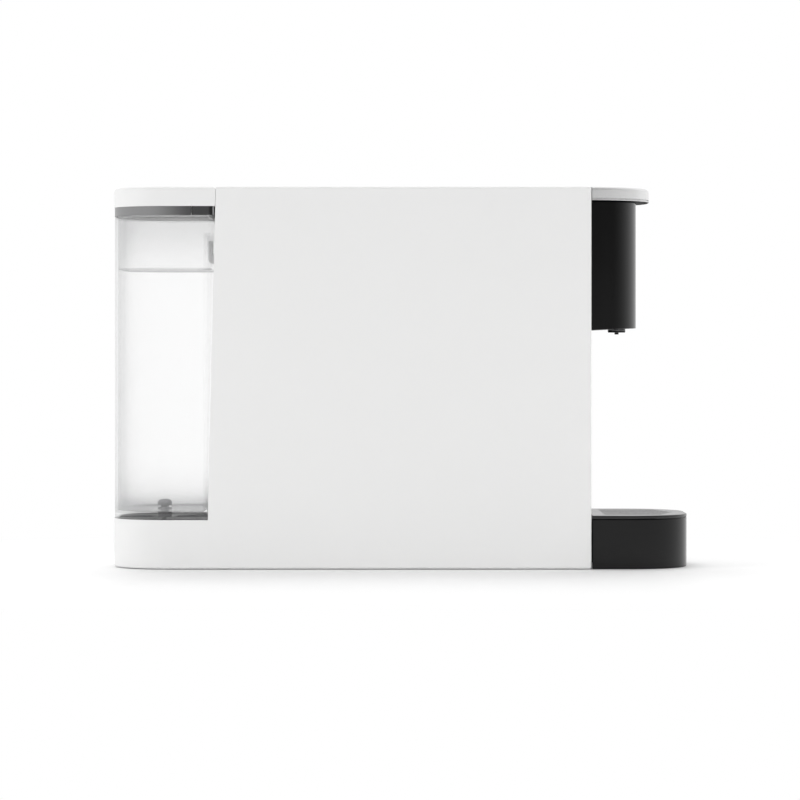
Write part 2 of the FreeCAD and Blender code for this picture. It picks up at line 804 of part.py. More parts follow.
brew_drop = size("brew_drop", 29.5)
rail_height = size("rail_height", 9.6)
rail_width = size("rail_width", 6)
rail_inner = size("rail_inner", 24)
pod_face = size("pod_face", 37)
seal_depth = size("seal_depth", 2)
cage_length = size("cage_length", 24)
cage_radius = size("cage_radius", 24.5)
cage_bore = size("cage_bore", 21)
cage_end = size("cage_end", 4)
slot_length = size("slot_length", 20)
slot_half = size("slot_half", 23)
deck_clear = size("deck_clear", 20)
tooth_top = size("tooth_top", 0.85)
tooth_root = size("tooth_root", 1.2)

brew_z = rack_pitch_z - brew_drop
rail_top = rack_pitch_z - gear_module * tooth_root
rail_low = rail_top - rail_height
rail_outer = rail_inner + rail_width
cage_x = front - pod_face
cage_front = cage_x + cage_length
injector_face = cage_x - seal_depth
deck_back = hinge_x + deck_clear

deck = Piece("pod_deck")
deck.pad("XY", deck_low, deck_top, dee(deck_back, head_front - case_wall, head_half - case_wall,
                                       head_corner - case_wall))
deck.pocket("XY", deck_low, deck_top, rectangle(cage_x, cage_x + slot_length, -slot_half, slot_half, front_corner))
deck.keep()

# Tunnel round the used-pod bin, with the hole that pods drop through

tunnel_wall = size("tunnel_wall", 2)
tunnel_gap = size("tunnel_gap", 4)
drop_half = size("drop_half", 29)
drop_back = size("drop_back", 6)

tunnel_back = inner_end + tunnel_gap
tunnel_top = drawer_top + tunnel_wall
drop_front = cage_x + slot_length + drop_back

tunnel = Piece("bin_tunnel")
tunnel.pad("XY", plate_top, tunnel_top, rectangle(tunnel_back, panel_back, -drawer_half - tunnel_wall,
                                                  drawer_half + tunnel_wall))
tunnel.pocket("XY", plate_top, drawer_top, rectangle(tunnel_back + tunnel_wall, panel_back, -drawer_half, drawer_half))
tunnel.pocket("XY", drawer_top, tunnel_top, rectangle(cage_x - drop_back, drop_front, -drop_half, drop_half,
                                                      front_corner))
tunnel.keep()

# Brew frame: two side plates with ledges that carry the racks

rail_gap = size("rail_gap", 1)
frame_wall = size("frame_wall", 3.5)
frame_length = size("frame_length", 97)
frame_ledge = size("frame_ledge", 6)
ledge_height = size("ledge_height", 3.5)
tie_gap = size("tie_gap", 25)
window_inset = size("window_inset", 14)
window_corner = size("window_corner", 6)

frame_back = panel_back - frame_length
frame_inner = rail_outer + rail_gap
frame_outer = frame_inner + frame_wall
tie_top = brew_z - tie_gap
ledge_inner = frame_inner - frame_ledge
ledge_low = rail_low - ledge_height

frame = Piece("brew_frame")
for low_y, high_y in ((-frame_outer, -frame_inner), (frame_inner, frame_outer)):
    frame.pad("XZ", low_y, high_y, rectangle(frame_back, panel_back, tunnel_top, deck_low))
frame.pad("YZ", frame_back, frame_back + frame_wall, rectangle(-frame_outer, frame_outer, tunnel_top, tie_top))
for low_y, high_y in ((-frame_inner, -ledge_inner), (ledge_inner, frame_inner)):
    frame.pad("XZ", low_y, high_y, rectangle(frame_back, panel_back, ledge_low, rail_low))
frame.pocket("XZ", -frame_outer, frame_outer, rectangle(frame_back + window_inset, panel_back - window_inset,
                                                        tunnel_top + window_inset, tie_top, window_corner))
frame.keep()

# Injection head, fixed behind the pod, with its needles, seal and hose stub

injector_length = size("injector_length", 24)
injector_flange = size("injector_flange", 4)
injector_drop = size("injector_drop", 22)
needle_length = size("needle_length", 6)
needle_radius = size("needle_radius", 1.5)
needle_circle = size("needle_circle", 9)
needle_count = 3

injector_back = injector_face - injector_length
injector = Piece("injection_head")
injector.turn(0, brew_z, "H", [(injector_back, 0), (injector_face, 0), (injector_face, cage_radius),
                               (injector_face - seal_depth * 2, cage_radius),
                               (injector_face - seal_depth * 2, cage_bore), (injector_back, cage_bore)])
injector.pad("YZ", injector_back, injector_back + injector_flange,
             rectangle(-frame_inner, frame_inner, brew_z - injector_drop, ledge_low))
injector.pad("YZ", injector_back - stub_length, injector_back, circle(0, brew_z, stub_radius))
injector_body = injector.body

needles = []
for number in range(needle_count):
    angle = 2 * math.pi * number / needle_count
    needle = doc.addObject("Part::Cone", "needle")
    needle.setExpression("Radius1", needle_radius.text)
    needle.Radius2 = 0
    needle.setExpression("Height", needle_length.text)
    needle.Placement = FreeCAD.Placement(Vector(), FreeCAD.Rotation(Vector(0, 1, 0), 90))
    place(needle, injector_face, needle_circle * math.sin(angle), brew_z + needle_circle * math.cos(angle))
    needles.append(needle)
keep(fuse(*needles), "pod_needles")
injector.keep()

keep(cut(rod("X", injector_face, cage_x, 0, brew_z, cage_radius),
         rod("X", injector_face, cage_x, 0, brew_z, cage_bore)), "injector_seal")

hose("brew_hose", [(outlet_x, heater_top), (outlet_x, brew_z), (injector_back, brew_z)],
     stub_radius + hose_wall, stub_radius)

# Pod cage, with its strainer holes and outlet, sliding on two racks

strainer_circle = size("strainer_circle", 12)
strainer_hole = size("strainer_hole", 1.5)
strainer_count = 12
outlet_radius = size("outlet_radius", 3.5)
outlet_drop = size("outlet_drop", 3)
lug_inner = size("lug_inner", 11.5)
lug_height = size("lug_height", 6.5)

strainer_holes = [circle(0, brew_z, strainer_hole)]
for number in range(strainer_count):
    angle = 2 * math.pi * number / strainer_count
    strainer_holes.append(circle(strainer_circle * math.sin(angle), brew_z + strainer_circle * math.cos(angle),
                                 strainer_hole))
cage = Piece("pod_cage")
cage.turn(0, brew_z, "H", rectangle(cage_x, cage_front, cage_bore, cage_radius))
for low_y, high_y in ((-rail_inner, -lug_inner), (lug_inner, rail_inner)):
    cage.pad("XZ", low_y, high_y, rectangle(cage_front - cage_end, cage_front, rail_low, rail_low + lug_height))
cage.pad("XY", brew_z - cage_radius - outlet_drop, brew_z - cage_bore - outlet_drop / 2,
         circle(cage_front - outlet_radius, 0, outlet_radius))
cage.keep()

strainer = Piece("strainer_plate")
strainer.pad("YZ", cage_front - cage_end, cage_front, circle(0, brew_z, cage_bore))
strainer.pocket("YZ", cage_front - cage_end, cage_front, *strainer_holes)
strainer.keep()

# Racks and sectors: involute teeth with backlash, in mesh at rest

tooth_pressure = math.radians(20)
first_rack_tooth = -6
last_rack_tooth = 1
first_sector_tooth = -5
last_sector_tooth = 1
rack_tail = size("rack_tail", 32)
sector_width = size("sector_width", 5)
sector_tab = size("sector_tab", 18)
tab_depth = size("tab_depth", 5)

tooth_pitch = math.pi * gear_module.value
tooth_half = (tooth_pitch - tooth_backlash.value) / 4
tooth_up = gear_module.value * tooth_top.value
tooth_down = gear_module.value * tooth_root.value
rack_width_half = rail_width.value / 2
sector_middle = rail_inner.value + rack_width_half


def rack_teeth():
    """Outline of one rack in the XZ plane: a bar with straight-sided teeth along its top."""
    slope = math.tan(tooth_pressure)
    start = Vector(hinge_x.value - rack_tail.value, 0, rail_low.value)
    points = [start, Vector(cage_front.value, 0, rail_low.value), Vector(cage_front.value, 0, rail_top.value)]
    for number in range(last_rack_tooth, first_rack_tooth - 1, -1):
        middle = hinge_x.value + (number + 0.5) * tooth_pitch
        foot = tooth_half + tooth_down * slope
        crown = tooth_half - tooth_up * slope
        top = rack_pitch_z.value + tooth_up
        points.append(Vector(middle + foot, 0, rail_top.value))
        points.append(Vector(middle + crown, 0, top))
        points.append(Vector(middle - crown, 0, top))
        points.append(Vector(middle - foot, 0, rail_top.value))
    points.append(Vector(start.x, 0, rail_top.value))
    return Part.Face(Part.makePolygon(points + [start]))


def polar(radius, angle):
    """A point round the hinge in the XZ plane."""
    return Vector(hinge_x.value + radius * math.cos(angle), 0, hinge_z.value + radius * math.sin(angle))


def sector_face():
    """Outline of a toothed sector about the hinge, with arcs for the flanks."""
    radius = pitch_radius.value
    base = radius * math.cos(tooth_pressure)
    tip = radius + tooth_up
    root = radius - tooth_down
    step = 2 * math.pi / sector_teeth.value
    half = tooth_half / radius + math.tan(tooth_pressure) - tooth_pressure
    edges = []
    last = None
    first = None
    for number in range(first_sector_tooth, last_sector_tooth + 1):
        middle = -math.pi / 2 + number * step
        flank = []
        for ring in (base, (base + tip) / 2, tip):
            lean = math.acos(min(1, base / ring))
            flank.append((ring, half - (math.tan(lean) - lean)))
        rise = [polar(ring, middle - spread) for ring, spread in flank]
        fall = [polar(ring, middle + spread) for ring, spread in reversed(flank)]
        foot = polar(root, middle - half)
        if last is None:
            first = foot
        else:
            valley = polar(root, middle - step / 2)
            edges.append(Part.Arc(last, valley, foot).toShape())
        edges.append(Part.LineSegment(foot, rise[0]).toShape())
        edges.append(Part.Arc(*rise).toShape())
        edges.append(Part.Arc(rise[-1], polar(tip, middle), fall[0]).toShape())
        edges.append(Part.Arc(*fall).toShape())
        last = polar(root, middle + half)
        edges.append(Part.LineSegment(fall[-1], last).toShape())
    centre = polar(0, 0)
    edges.append(Part.LineSegment(last, centre).toShape())
    edges.append(Part.LineSegment(centre, first).toShape())
    return Part.Face(Part.Wire(edges))


def slab(face, middle, width):
    """A flat plate of a given width about a plane across Y."""
    solid = face.extrude(Vector(0, width, 0))
    solid.translate(Vector(0, middle - width / 2, 0))
    return solid


for side, hand in (("left", -1), ("right", 1)):
    plane = hand * sector_middle
    shaped(f"rack_{side}", slab(rack_teeth(), plane, rail_width.value))
    tooth_plate = slab(sector_face(), plane, sector_width.value)
    tab_corner = Vector(hinge_x.value, plane - sector_width.value / 2, lever_low.value - tab_depth.value)
    tab = Part.makeBox(sector_tab.value, sector_width.value, tab_depth.value, tab_corner)
    start = Vector(hinge_x.value, plane - sector_width.value / 2, hinge_z.value)
    hub = Part.makeCylinder(barrel.value, sector_width.value, start, Vector(0, 1, 0))
    under_lever = Vector(hinge_x.value, plane - sector_width.value / 2, lever_low.value)
    lever_room = Part.makeBox(sector_tab.value, sector_width.value, lever_thickness.value, under_lever)
    shaped(f"sector_{side}", tooth_plate.fuse(tab).removeSplitter().cut(hub).cut(lever_room))

# Coffee funnel in the head, a trough from under the cage to the spout

funnel_back = size("funnel_back", 19)
funnel_front = size("funnel_front", 26)
funnel_half = size("funnel_half", 14)
funnel_height = size("funnel_height", 12)
funnel_wall = size("funnel_wall", 1.8)
funnel_fall = size("funnel_fall", 5)

trough_back = front - funnel_back
trough_front = front + funnel_front
trough_top = floor_top + funnel_height
trough_floor = floor_top + funnel_wall

funnel = Piece("coffee_funnel")
funnel.pad("XZ", -funnel_half, funnel_half, [(trough_back, trough_floor), (inner_front, floor_top),
                                             (trough_front, floor_top), (trough_front, trough_top),
                                             (trough_back, trough_top)])
funnel.pocket("XZ", funnel_wall - funnel_half, funnel_half - funnel_wall,
              [(trough_back + funnel_wall, trough_floor + funnel_fall), (trough_front - funnel_wall, trough_floor),
               (trough_front - funnel_wall, trough_top), (trough_back + funnel_wall, trough_top)])
funnel.pocket("XY", floor_top, trough_top, circle(spout_x, 0, spout_bore))
funnel.keep()

# Lever: a silver moulding on a barrel at its rear, with a black panel let into its underside

underside_inset = size("underside_inset", 2.5)
lip_height = size("lip_height", 0.7)
lip_groove = size("lip_groove", 0.7)
groove_depth = size("groove_depth", 0.6)
underside_depth = size("underside_depth", 5)
underside_back = size("underside_back", 10)
bracket_length = size("bracket_length", 12)
bracket_height = size("bracket_height", 50)

lever_half = half_width - lever_inset
lever_corner = lever_half - lever_flat / 2
arm_half = top_half - seam_gap
arm_end = front + seam_gap
under_half = arm_half - underside_inset
ceiling = lever_low + underside_depth
under_back = hinge_x + underside_back
brow_half = lever_half - underside_inset
brow_back = arm_end + underside_inset
under_plan = dee(under_back, lever_tip - underside_inset, brow_half, lever_corner - underside_inset)

arm = Piece("brew_lever")
arm.pad("XY", lever_low, overall_height, dee(hinge_x, lever_tip, lever_half, lever_corner))
arm.pocket("XY", lever_low + lip_height, lever_low + lip_height + lip_groove,
           dee(hinge_x - 1, lever_tip + 1, lever_half + 1, lever_corner + 1),
           dee(hinge_x, lever_tip - groove_depth, lever_half - groove_depth, lever_corner - groove_depth))
arm.pocket("XY", lever_low, overall_height, rectangle(hinge_x, arm_end, arm_half, lever_half),
           rectangle(hinge_x, arm_end, -lever_half, -arm_half))
arm.soften(lever_round, lambda edge: level_edge(overall_height)(edge) and edge.BoundBox.XMax > arm_end.value + 1)
arm.pad("XZ", -arm_half, arm_half, circle(hinge_x, hinge_z, barrel))
arm.pocket("XY", lever_low, ceiling, under_plan)
arm.pad("XY", lever_low, ceiling, rectangle(under_back, arm_end, under_half, arm_half),
        rectangle(under_back, arm_end, -arm_half, -under_half))
arm.pad("XY", lever_low, ceiling, rectangle(arm_end, brow_back, under_half, brow_half),
        rectangle(arm_end, brow_back, -brow_half, -under_half))
arm.pocket("XZ", -arm_half, arm_half, circle(hinge_x, hinge_z, pin_radius + pin_clearance))
arm.keep()

under = Piece("lever_underside")
under.pad("XY", lever_low, ceiling, under_plan)
under.pocket("XY", lever_low, ceiling, rectangle(under_back, brow_back, under_half, brow_half),
             rectangle(under_back, brow_back, -brow_half, -under_half))
under.keep()

keep(rod("Y", -inner_half, inner_half, hinge_x, hinge_z, pin_radius), "lever_pin")

bracket_blocks = []
for hand in (-1, 1):
    low_y, high_y = across(hand, top_half, inner_half)
    bracket_blocks.append(box(hinge_x - bracket_length / 2, hinge_x + bracket_length / 2, low_y, high_y,
                              top_under - bracket_height, top_under))
keep(cut(fuse(*bracket_blocks), rod("Y", -inner_half, inner_half, hinge_x, hinge_z, pin_radius)), "hinge_brackets")

# Top cover with two brew buttons, and the small board that they press on

cover_gap = size("cover_gap", 0.2)
cover_swing = size("cover_swing", 0.4)
button_back = size("button_back", 34)
button_span = size("button_span", 32)
button_radius = size("button_radius", 8)
button_clearance = size("button_clearance", 0.35)
button_flange = size("button_flange", 1.5)
button_stand = size("button_stand", 0.2)
button_web = size("button_web", 2)
button_stem = size("button_stem", 3)
button_travel = size("button_travel", 1.5)
switch_gap = size("switch_gap", 0.2)
switch_half = size("switch_half", 3)
switch_height = size("switch_height", 3.3)
post_radius = size("post_radius", 3)
post_spread = size("post_spread", 16)
post_length = size("post_length", 11.5)
board_half_width = size("board_half_width", 22)
board_half_length = size("board_half_length", 20)

button_x = hinge_x - button_back
cover_front = lever_back - cover_swing
cover_half = top_half - cover_gap
post_low = top_under - post_length
button_spots = [("espresso_button", -button_span / 2), ("lungo_button", button_span / 2)]
post_spots = [button_x - post_spread, button_x + post_spread]

cover = Piece("top_cover")
cover.pad("XY", top_under, overall_height, rectangle(bay_high, cover_front, -cover_half, cover_half))
cover.pad("XY", ledge_under, top_under, rectangle(bulkhead(ledge_under), bulkhead(ledge_under) + case_wall,
                                                  ledge_width - cover_half, cover_half - ledge_width))
cover.pad("XY", post_low, top_under, *[circle(x, 0, post_radius) for x in post_spots])
cover.pocket("XY", top_under, overall_height,
             *[circle(button_x, y, button_radius + button_clearance) for name, y in button_spots])
cover.keep()

flange_low = top_under - button_web
stem_end = post_low + switch_height + button_travel + switch_gap
for name, button_y in button_spots:
    button = Piece(name)
    button.turn(button_x, 0, "V", [(0, stem_end), (button_stem, stem_end),
                                   (button_stem, flange_low), (button_radius + button_flange, flange_low),
                                   (button_radius + button_flange, top_under), (button_radius, top_under),
                                   (button_radius, overall_height - button_stand, button_stand * 2),
                                   (0, overall_height - button_stand)])
    button.body.setExpression("Placement.Base.y", button_y.text)
    button.keep()

board_low = post_low - board_thickness
switches = [box(button_x - switch_half, button_x + switch_half, y - switch_half, y + switch_half, post_low,
                post_low + switch_height) for name, y in button_spots]
keep(fuse(box(button_x - board_half_length, button_x + board_half_length, -board_half_width, board_half_width,
              board_low, post_low), *switches), "button_board")

# Water tank: a clear vessel with a slanted front and a channel that passes over the catch

tank_inset = size("tank_inset", 0.5)
tank_wall = size("tank_wall", 2.2)
tank_floor = size("tank_floor", 5.4)
lid_height = size("lid_height", 13)
channel_half = size("channel_half", 8.5)
channel_gap = size("channel_gap", 1)
tab_gap = size("tab_gap", 0.6)
tab_height = size("tab_height", 12)
collar_height_tank = size("collar_height_tank", 6)
collar_split = size("collar_split", 54.6)
housing_radius = size("housing_radius", 4.75)
housing_rise = size("housing_rise", 0.8)
stem_radius = size("stem_radius", 1.5)
stem_neck = size("stem_neck", 2.8)
neck_height = size("neck_height", 1.6)
valve_head = size("valve_head", 5)
head_height = size("head_height", 4.2)
valve_dome = size("valve_dome", 3.2)

rim_top = overall_height - lid_height
tank_rim = rim_top - collar_height_tank
floor_level = shelf_top + tank_floor
channel_back = catch_back - channel_gap
tab_low = catch_seat + tab_gap
channel_top = tab_low + tab_height


def tank_face(level):
    """Place of the tank's slanted front at a height."""
    return bay_edge(level) - tank_gap


vessel = Piece("tank_vessel")
vessel.pad("XY", shelf_top, tank_rim, bullet(tank_inset, tank_face(tank_rim)))
vessel.pocket("XY", floor_level, tank_rim, bullet(tank_inset + tank_wall, tank_face(tank_rim) - tank_wall))
vessel.pocket("XZ", -half_width, half_width, [(tank_face(shelf_top), shelf_top), (tank_face(tank_rim), shelf_top),
                                              (tank_face(tank_rim), tank_rim)])
vessel.pad("XZ", tank_inset - half_width, half_width - tank_inset,
           [(tank_face(shelf_top) - tank_wall, shelf_top), (tank_face(shelf_top), shelf_top),
            (tank_face(tank_rim), tank_rim), (tank_face(tank_rim) - tank_wall, tank_rim)])
vessel.pad("XZ", -channel_half - tank_wall, channel_half + tank_wall,
           [(channel_back - tank_wall, shelf_top), (tank_face(shelf_top), shelf_top),
            (tank_face(channel_top + tank_wall), channel_top + tank_wall),
            (channel_back - tank_wall, channel_top + tank_wall)])
vessel.pocket("XZ", -channel_half, channel_half,
              [(channel_back, shelf_top), (tank_face(shelf_top), shelf_top), (tank_face(tab_low), tab_low),
               (channel_back, tab_low)])
vessel.pocket("XZ", -channel_half, channel_half,
              [(channel_back, tab_low), (tank_face(tab_low) - tank_wall, tab_low),
               (tank_face(channel_top) - tank_wall, channel_top), (channel_back, channel_top)])
vessel.pocket("XY", shelf_top, floor_level, circle(valve_x, 0, housing_radius))
vessel.keep()

split_x = rear + collar_split
rear_collar = Piece("tank_collar")
rear_collar.pad("XY", tank_rim, rim_top, bullet(tank_inset, split_x))
rear_collar.pocket("XY", tank_rim, rim_top, bullet(tank_inset + tank_wall, split_x))
rear_collar.keep()

front_collar = Piece("collar_front")
front_collar.pad("XY", tank_rim, rim_top, rectangle(split_x + seam_gap, tank_face(tank_rim), tank_inset - half_width,
                                                    half_width - tank_inset))
front_collar.pocket("XY", tank_rim, rim_top, rectangle(split_x + seam_gap, tank_face(tank_rim) - tank_wall,
                                                       tank_inset + tank_wall - half_width,
                                                       half_width - tank_inset - tank_wall))
front_collar.keep()

housing_top = floor_level + housing_rise
housing = Piece("valve_housing")
housing.turn(valve_x, 0, "V", [(throat_radius, nipple_low), (nipple_radius, nipple_low), (nipple_radius, shelf_top),
                               (housing_radius, shelf_top), (housing_radius, housing_top),
                               (throat_radius, housing_top)])
housing.keep()

neck_top = housing_top + neck_height
valve_top = neck_top + head_height
valve = Piece("tank_valve")
valve.turn(valve_x, 0, "V", [(0, stem_low), (stem_radius, stem_low), (stem_radius, housing_top),
                             (stem_neck, housing_top), (stem_neck, neck_top), (valve_head, neck_top),
                             (valve_head, valve_top, valve_dome), (0, valve_top)])
valve.keep()

# Tank lid and the seal ring that it carries inside the tank's wall

lid_gap = size("lid_gap", 0.2)
lid_corner = size("lid_corner", 0.5)
lid_round = size("lid_round", 2.4)
lid_top_wall = size("lid_top_wall", 2.5)
seal_gap = size("seal_gap", 0.5)
seal_ring = size("seal_ring", 2)
seal_drop = size("seal_drop", 1.2)

lid_face = bay_high - lid_gap
lid_under = overall_height - lid_top_wall
lid = Piece("tank_lid")
lid.pad("XY", rim_top, overall_height, bullet(0, lid_face, lid_corner))
lid.soften(lid_round, level_edge(overall_height))
lid.pocket("XZ", -half_width, half_width, [(bay_edge(rim_top) - lid_gap, rim_top), (lid_face, rim_top),
                                           (lid_face, overall_height)])
lid.pocket("XY", rim_top, lid_under, bullet(tank_inset + tank_wall, tank_face(tank_rim) - tank_wall))
lid.keep()

seal_inset = tank_inset + tank_wall + seal_gap
seal_front = tank_face(tank_rim) - tank_wall - seal_gap * 2
ring = Piece("lid_seal")
ring.pad("XY", tank_rim - seal_drop, lid_under, bullet(seal_inset, seal_front))
ring.pocket("XY", tank_rim - seal_drop, lid_under, bullet(seal_inset + seal_ring, seal_front - seal_ring))
ring.keep()

# Drawer: the drip tray in front and the used-pod bin behind it, pulled out as one

tray_gap = size("tray_gap", 1)
tray_side = size("tray_side", 3)
tray_corner = size("tray_corner", 40)
tray_lift = size("tray_lift", 0.2)
tray_top = size("tray_top", 33.9)
tray_wall = size("tray_wall", 2.2)
tray_round = size("tray_round", 0.6)
parting_round = size("parting_round", 0.5)
bin_clearance = size("bin_clearance", 0.5)
bin_wall = size("bin_wall", 2)
bin_back_gap = size("bin_back_gap", 3.5)
bin_headroom = size("bin_headroom", 0.7)

tray_back = front + tray_gap
tray_half = half_width - tray_side
bin_half = drawer_half - bin_clearance
bin_back = tunnel_back + tunnel_wall + bin_back_gap
bin_top = drawer_top - bin_headroom

tray = Piece("drip_tray")
tray.pad("XY", tray_lift, tray_top, dee(tray_back, nose, tray_half, tray_corner))
tray.soften(tray_round, lambda edge: level_edge(tray_lift)(edge) and edge.BoundBox.XMax > tray_back.value + 1)
tray.soften(parting_round, lambda edge: level_edge(tray_top)(edge) and edge.BoundBox.XMax > tray_back.value + 1)
tray.pad("XY", plate_top, tray_top, rectangle(inner_front, tray_back, -bin_half, bin_half))
tray.pocket("XY", tray_lift + tray_wall, tray_top, dee(tray_back + tray_wall, nose - tray_wall, tray_half - tray_wall,
                                                       tray_corner - tray_wall))
tray.keep()

bin_box = Piece("capsule_bin")
bin_box.pad("XY", plate_top, bin_top, rectangle(bin_back, inner_front, -bin_half, bin_half))
bin_box.pocket("XY", plate_top + bin_wall, bin_top, rectangle(bin_back + bin_wall, inner_front - bin_wall,
                                                              bin_wall - bin_half, bin_half - bin_wall, front_corner))
bin_box.keep()

# Cup plate: a slotted plate with a rim that drops inside the tray

cup_thickness = size("cup_thickness", 2.3)
cup_rim_gap = size("cup_rim_gap", 0.5)
cup_rim_drop = size("cup_rim_drop", 5)
cup_rim_wall = size("cup_rim_wall", 1.6)
slot_width = size("slot_width", 3)
slot_pitch = size("slot_pitch", 9)
slot_margin = size("slot_margin", 9)
slot_shorten = size("slot_shorten", 2.4)
side_slots = 4

cup_top = tray_top + cup_thickness
rim_inset = tray_wall + cup_rim_gap
cup = Piece("cup_plate")
cup.pad("XY", tray_top, cup_top, dee(tray_back, nose, tray_half, tray_corner))
cup.soften(parting_round, lambda edge: (level_edge(tray_top)(edge) or level_edge(cup_top)(edge))
           and edge.BoundBox.XMax > tray_back.value + 1)
cup.pad("XY", tray_top - cup_rim_drop, tray_top, dee(tray_back + rim_inset, nose - rim_inset, tray_half - rim_inset,
                                                     tray_corner - rim_inset))
cup.pocket("XY", tray_top - cup_rim_drop, tray_top, dee(tray_back + rim_inset + cup_rim_wall,
                                                        nose - rim_inset - cup_rim_wall,
                                                        tray_half - rim_inset - cup_rim_wall,
                                                        tray_corner - rim_inset - cup_rim_wall))
slots = []
for number in range(-side_slots, side_slots + 1):
    slot_y = slot_pitch * number
    shorter = slot_shorten * abs(number)
    slots.append(rectangle(tray_back + slot_margin, nose - slot_margin - shorter, slot_y - slot_width / 2,
                           slot_y + slot_width / 2))
cup.pocket("XY", tray_top, cup_top, *slots)
cup.keep()

# Checks, then one file for each piece

doc.recompute()
for item in doc.Objects:
    if "Invalid" in item.State or "Error" in item.State:
        raise ValueError(f"{item.Label} failed: {item.State}")
for item in doc.findObjects("PartDesign::Pocket"):
    if not item.Shape.Volume < item.BaseFeature.Shape.Volume:
        raise ValueError(f"{item.Label} cuts nothing")
for item in nodes:
    if item.Shape.isNull() or not item.Shape.isValid():
        raise ValueError(f"{item.Label} has no valid shape")
for item in nodes:
    item.Shape.exportStep(f"parts/{item.Label}.step")
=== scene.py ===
import math

import bmesh
import bpy
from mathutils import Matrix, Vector


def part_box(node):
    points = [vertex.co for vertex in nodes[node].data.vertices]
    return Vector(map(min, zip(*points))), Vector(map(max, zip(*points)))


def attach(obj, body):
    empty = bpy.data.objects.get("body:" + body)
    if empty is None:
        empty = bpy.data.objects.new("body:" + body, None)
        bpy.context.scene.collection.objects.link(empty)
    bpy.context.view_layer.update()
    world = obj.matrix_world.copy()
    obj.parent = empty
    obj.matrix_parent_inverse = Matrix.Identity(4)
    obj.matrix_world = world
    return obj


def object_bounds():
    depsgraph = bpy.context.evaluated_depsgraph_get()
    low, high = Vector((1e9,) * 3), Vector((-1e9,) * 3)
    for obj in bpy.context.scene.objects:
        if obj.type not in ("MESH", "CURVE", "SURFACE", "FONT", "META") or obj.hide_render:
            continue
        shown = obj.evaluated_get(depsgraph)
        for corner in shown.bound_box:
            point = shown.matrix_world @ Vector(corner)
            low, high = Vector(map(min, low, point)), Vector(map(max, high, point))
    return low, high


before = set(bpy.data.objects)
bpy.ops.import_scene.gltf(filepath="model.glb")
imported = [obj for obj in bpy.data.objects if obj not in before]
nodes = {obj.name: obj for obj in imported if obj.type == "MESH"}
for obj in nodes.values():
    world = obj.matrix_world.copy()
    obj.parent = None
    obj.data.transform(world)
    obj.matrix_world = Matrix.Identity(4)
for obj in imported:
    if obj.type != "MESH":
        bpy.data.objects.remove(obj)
cad_low, cad_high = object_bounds()

# Underframe: a grained black base plate and the shelf on legs above it, both moulded.
# The case closes over them, and the moulding shows from below and through the tank bay.


class Wire:
    """One socket of a shader tree. A sum of wires adds the nodes that work it out."""

    def __init__(self, tree, socket=None):
        self.tree = tree
        self.socket = socket

    def node(self, kind, sockets=None, output=0, **settings):
        """Any node: its settings first, then the values or wires of its sockets."""
        made = self.tree.nodes.new("ShaderNode" + kind)
        for name, value in settings.items():
            setattr(made, name, value)
        for name, value in (sockets or {}).items():
            if isinstance(value, Wire):
                self.tree.links.new(value.socket, made.inputs[name])
            else:
                made.inputs[name].default_value = value
        return Wire(self.tree, made.outputs[output])

    def math(self, operation, first, second=0.0):
        return self.node("Math", {0: first, 1: second}, operation=operation)

    def __add__(self, other):
        return self.math("ADD", self, other)

    def __radd__(self, other):
        return self.math("ADD", other, self)

    def __sub__(self, other):
        return self.math("SUBTRACT", self, other)

    def __rsub__(self, other):
        return self.math("SUBTRACT", other, self)

    def __mul__(self, other):
        return self.math("MULTIPLY", self, other)

    def __rmul__(self, other):
        return self.math("MULTIPLY", other, self)

    def place(self, kind="Object"):
        """Where a point lies, or with Normal the way that its surface faces."""
        return self.node("TexCoord", output=kind)

    def axis(self, letter, kind="Object"):
        """One of the three numbers of a place or of a way that a surface faces."""
        return self.node("SeparateXYZ", {"Vector": self.place(kind)}, letter)

    def noise(self, scale, detail=2.0, vector=None):
        """Soft noise from 0 to 1, finer with a larger scale."""
        place = vector or self.place()
        return self.node("TexNoise", {"Vector": place, "Scale": scale, "Detail": detail})

    def blend(self, share, first, second):
        """A colour between two colours. Sockets 6 and 7 and output 2 are the node's colour ones."""
        return self.node("Mix", {"Factor": share, 6: first, 7: second}, 2, data_type="RGBA")

    def ramp(self, value, low, high):
        """A value taken from 0 at low to 1 at high, smoothly."""
        sockets = {"Value": value, "From Min": low, "From Max": high}
        return self.node("MapRange", sockets, interpolation_type="SMOOTHSTEP")

    def relief(self, height, depth, strength, edge=None):
        """Bumps of a depth in metres, on edges that are rounded where a radius is given."""
        sockets = {"Height": height, "Distance": depth, "Strength": strength}
        if edge:
            sockets["Normal"] = self.node("Bevel", {"Radius": edge}, samples=4)
        return self.node("Bump", sockets)

    def ray(self, kind):
        """1 on rays of this kind, and 0 on others."""
        return self.node("LightPath", output="Is " + kind + " Ray")


def surface(name, **values):
    """A material with constant values on its shader, and the wire that its nodes hang on."""
    material = bpy.data.materials.new(name)
    material.use_nodes = True
    shader = material.node_tree.nodes["Principled BSDF"]
    for socket, value in values.items():
        shader.inputs[socket.replace("_", " ")].default_value = value
    return material, Wire(material.node_tree), shader


def feed(wire, shader, **wires):
    """Links wires to the shader's sockets."""
    for socket, source in wires.items():
        wire.tree.links.new(source.socket, shader.inputs[socket.replace("_", " ")])


def shade(colour, factor):
    """A colour made lighter or darker."""
    return (*[min(1.0, part * factor) for part in colour], 1.0)


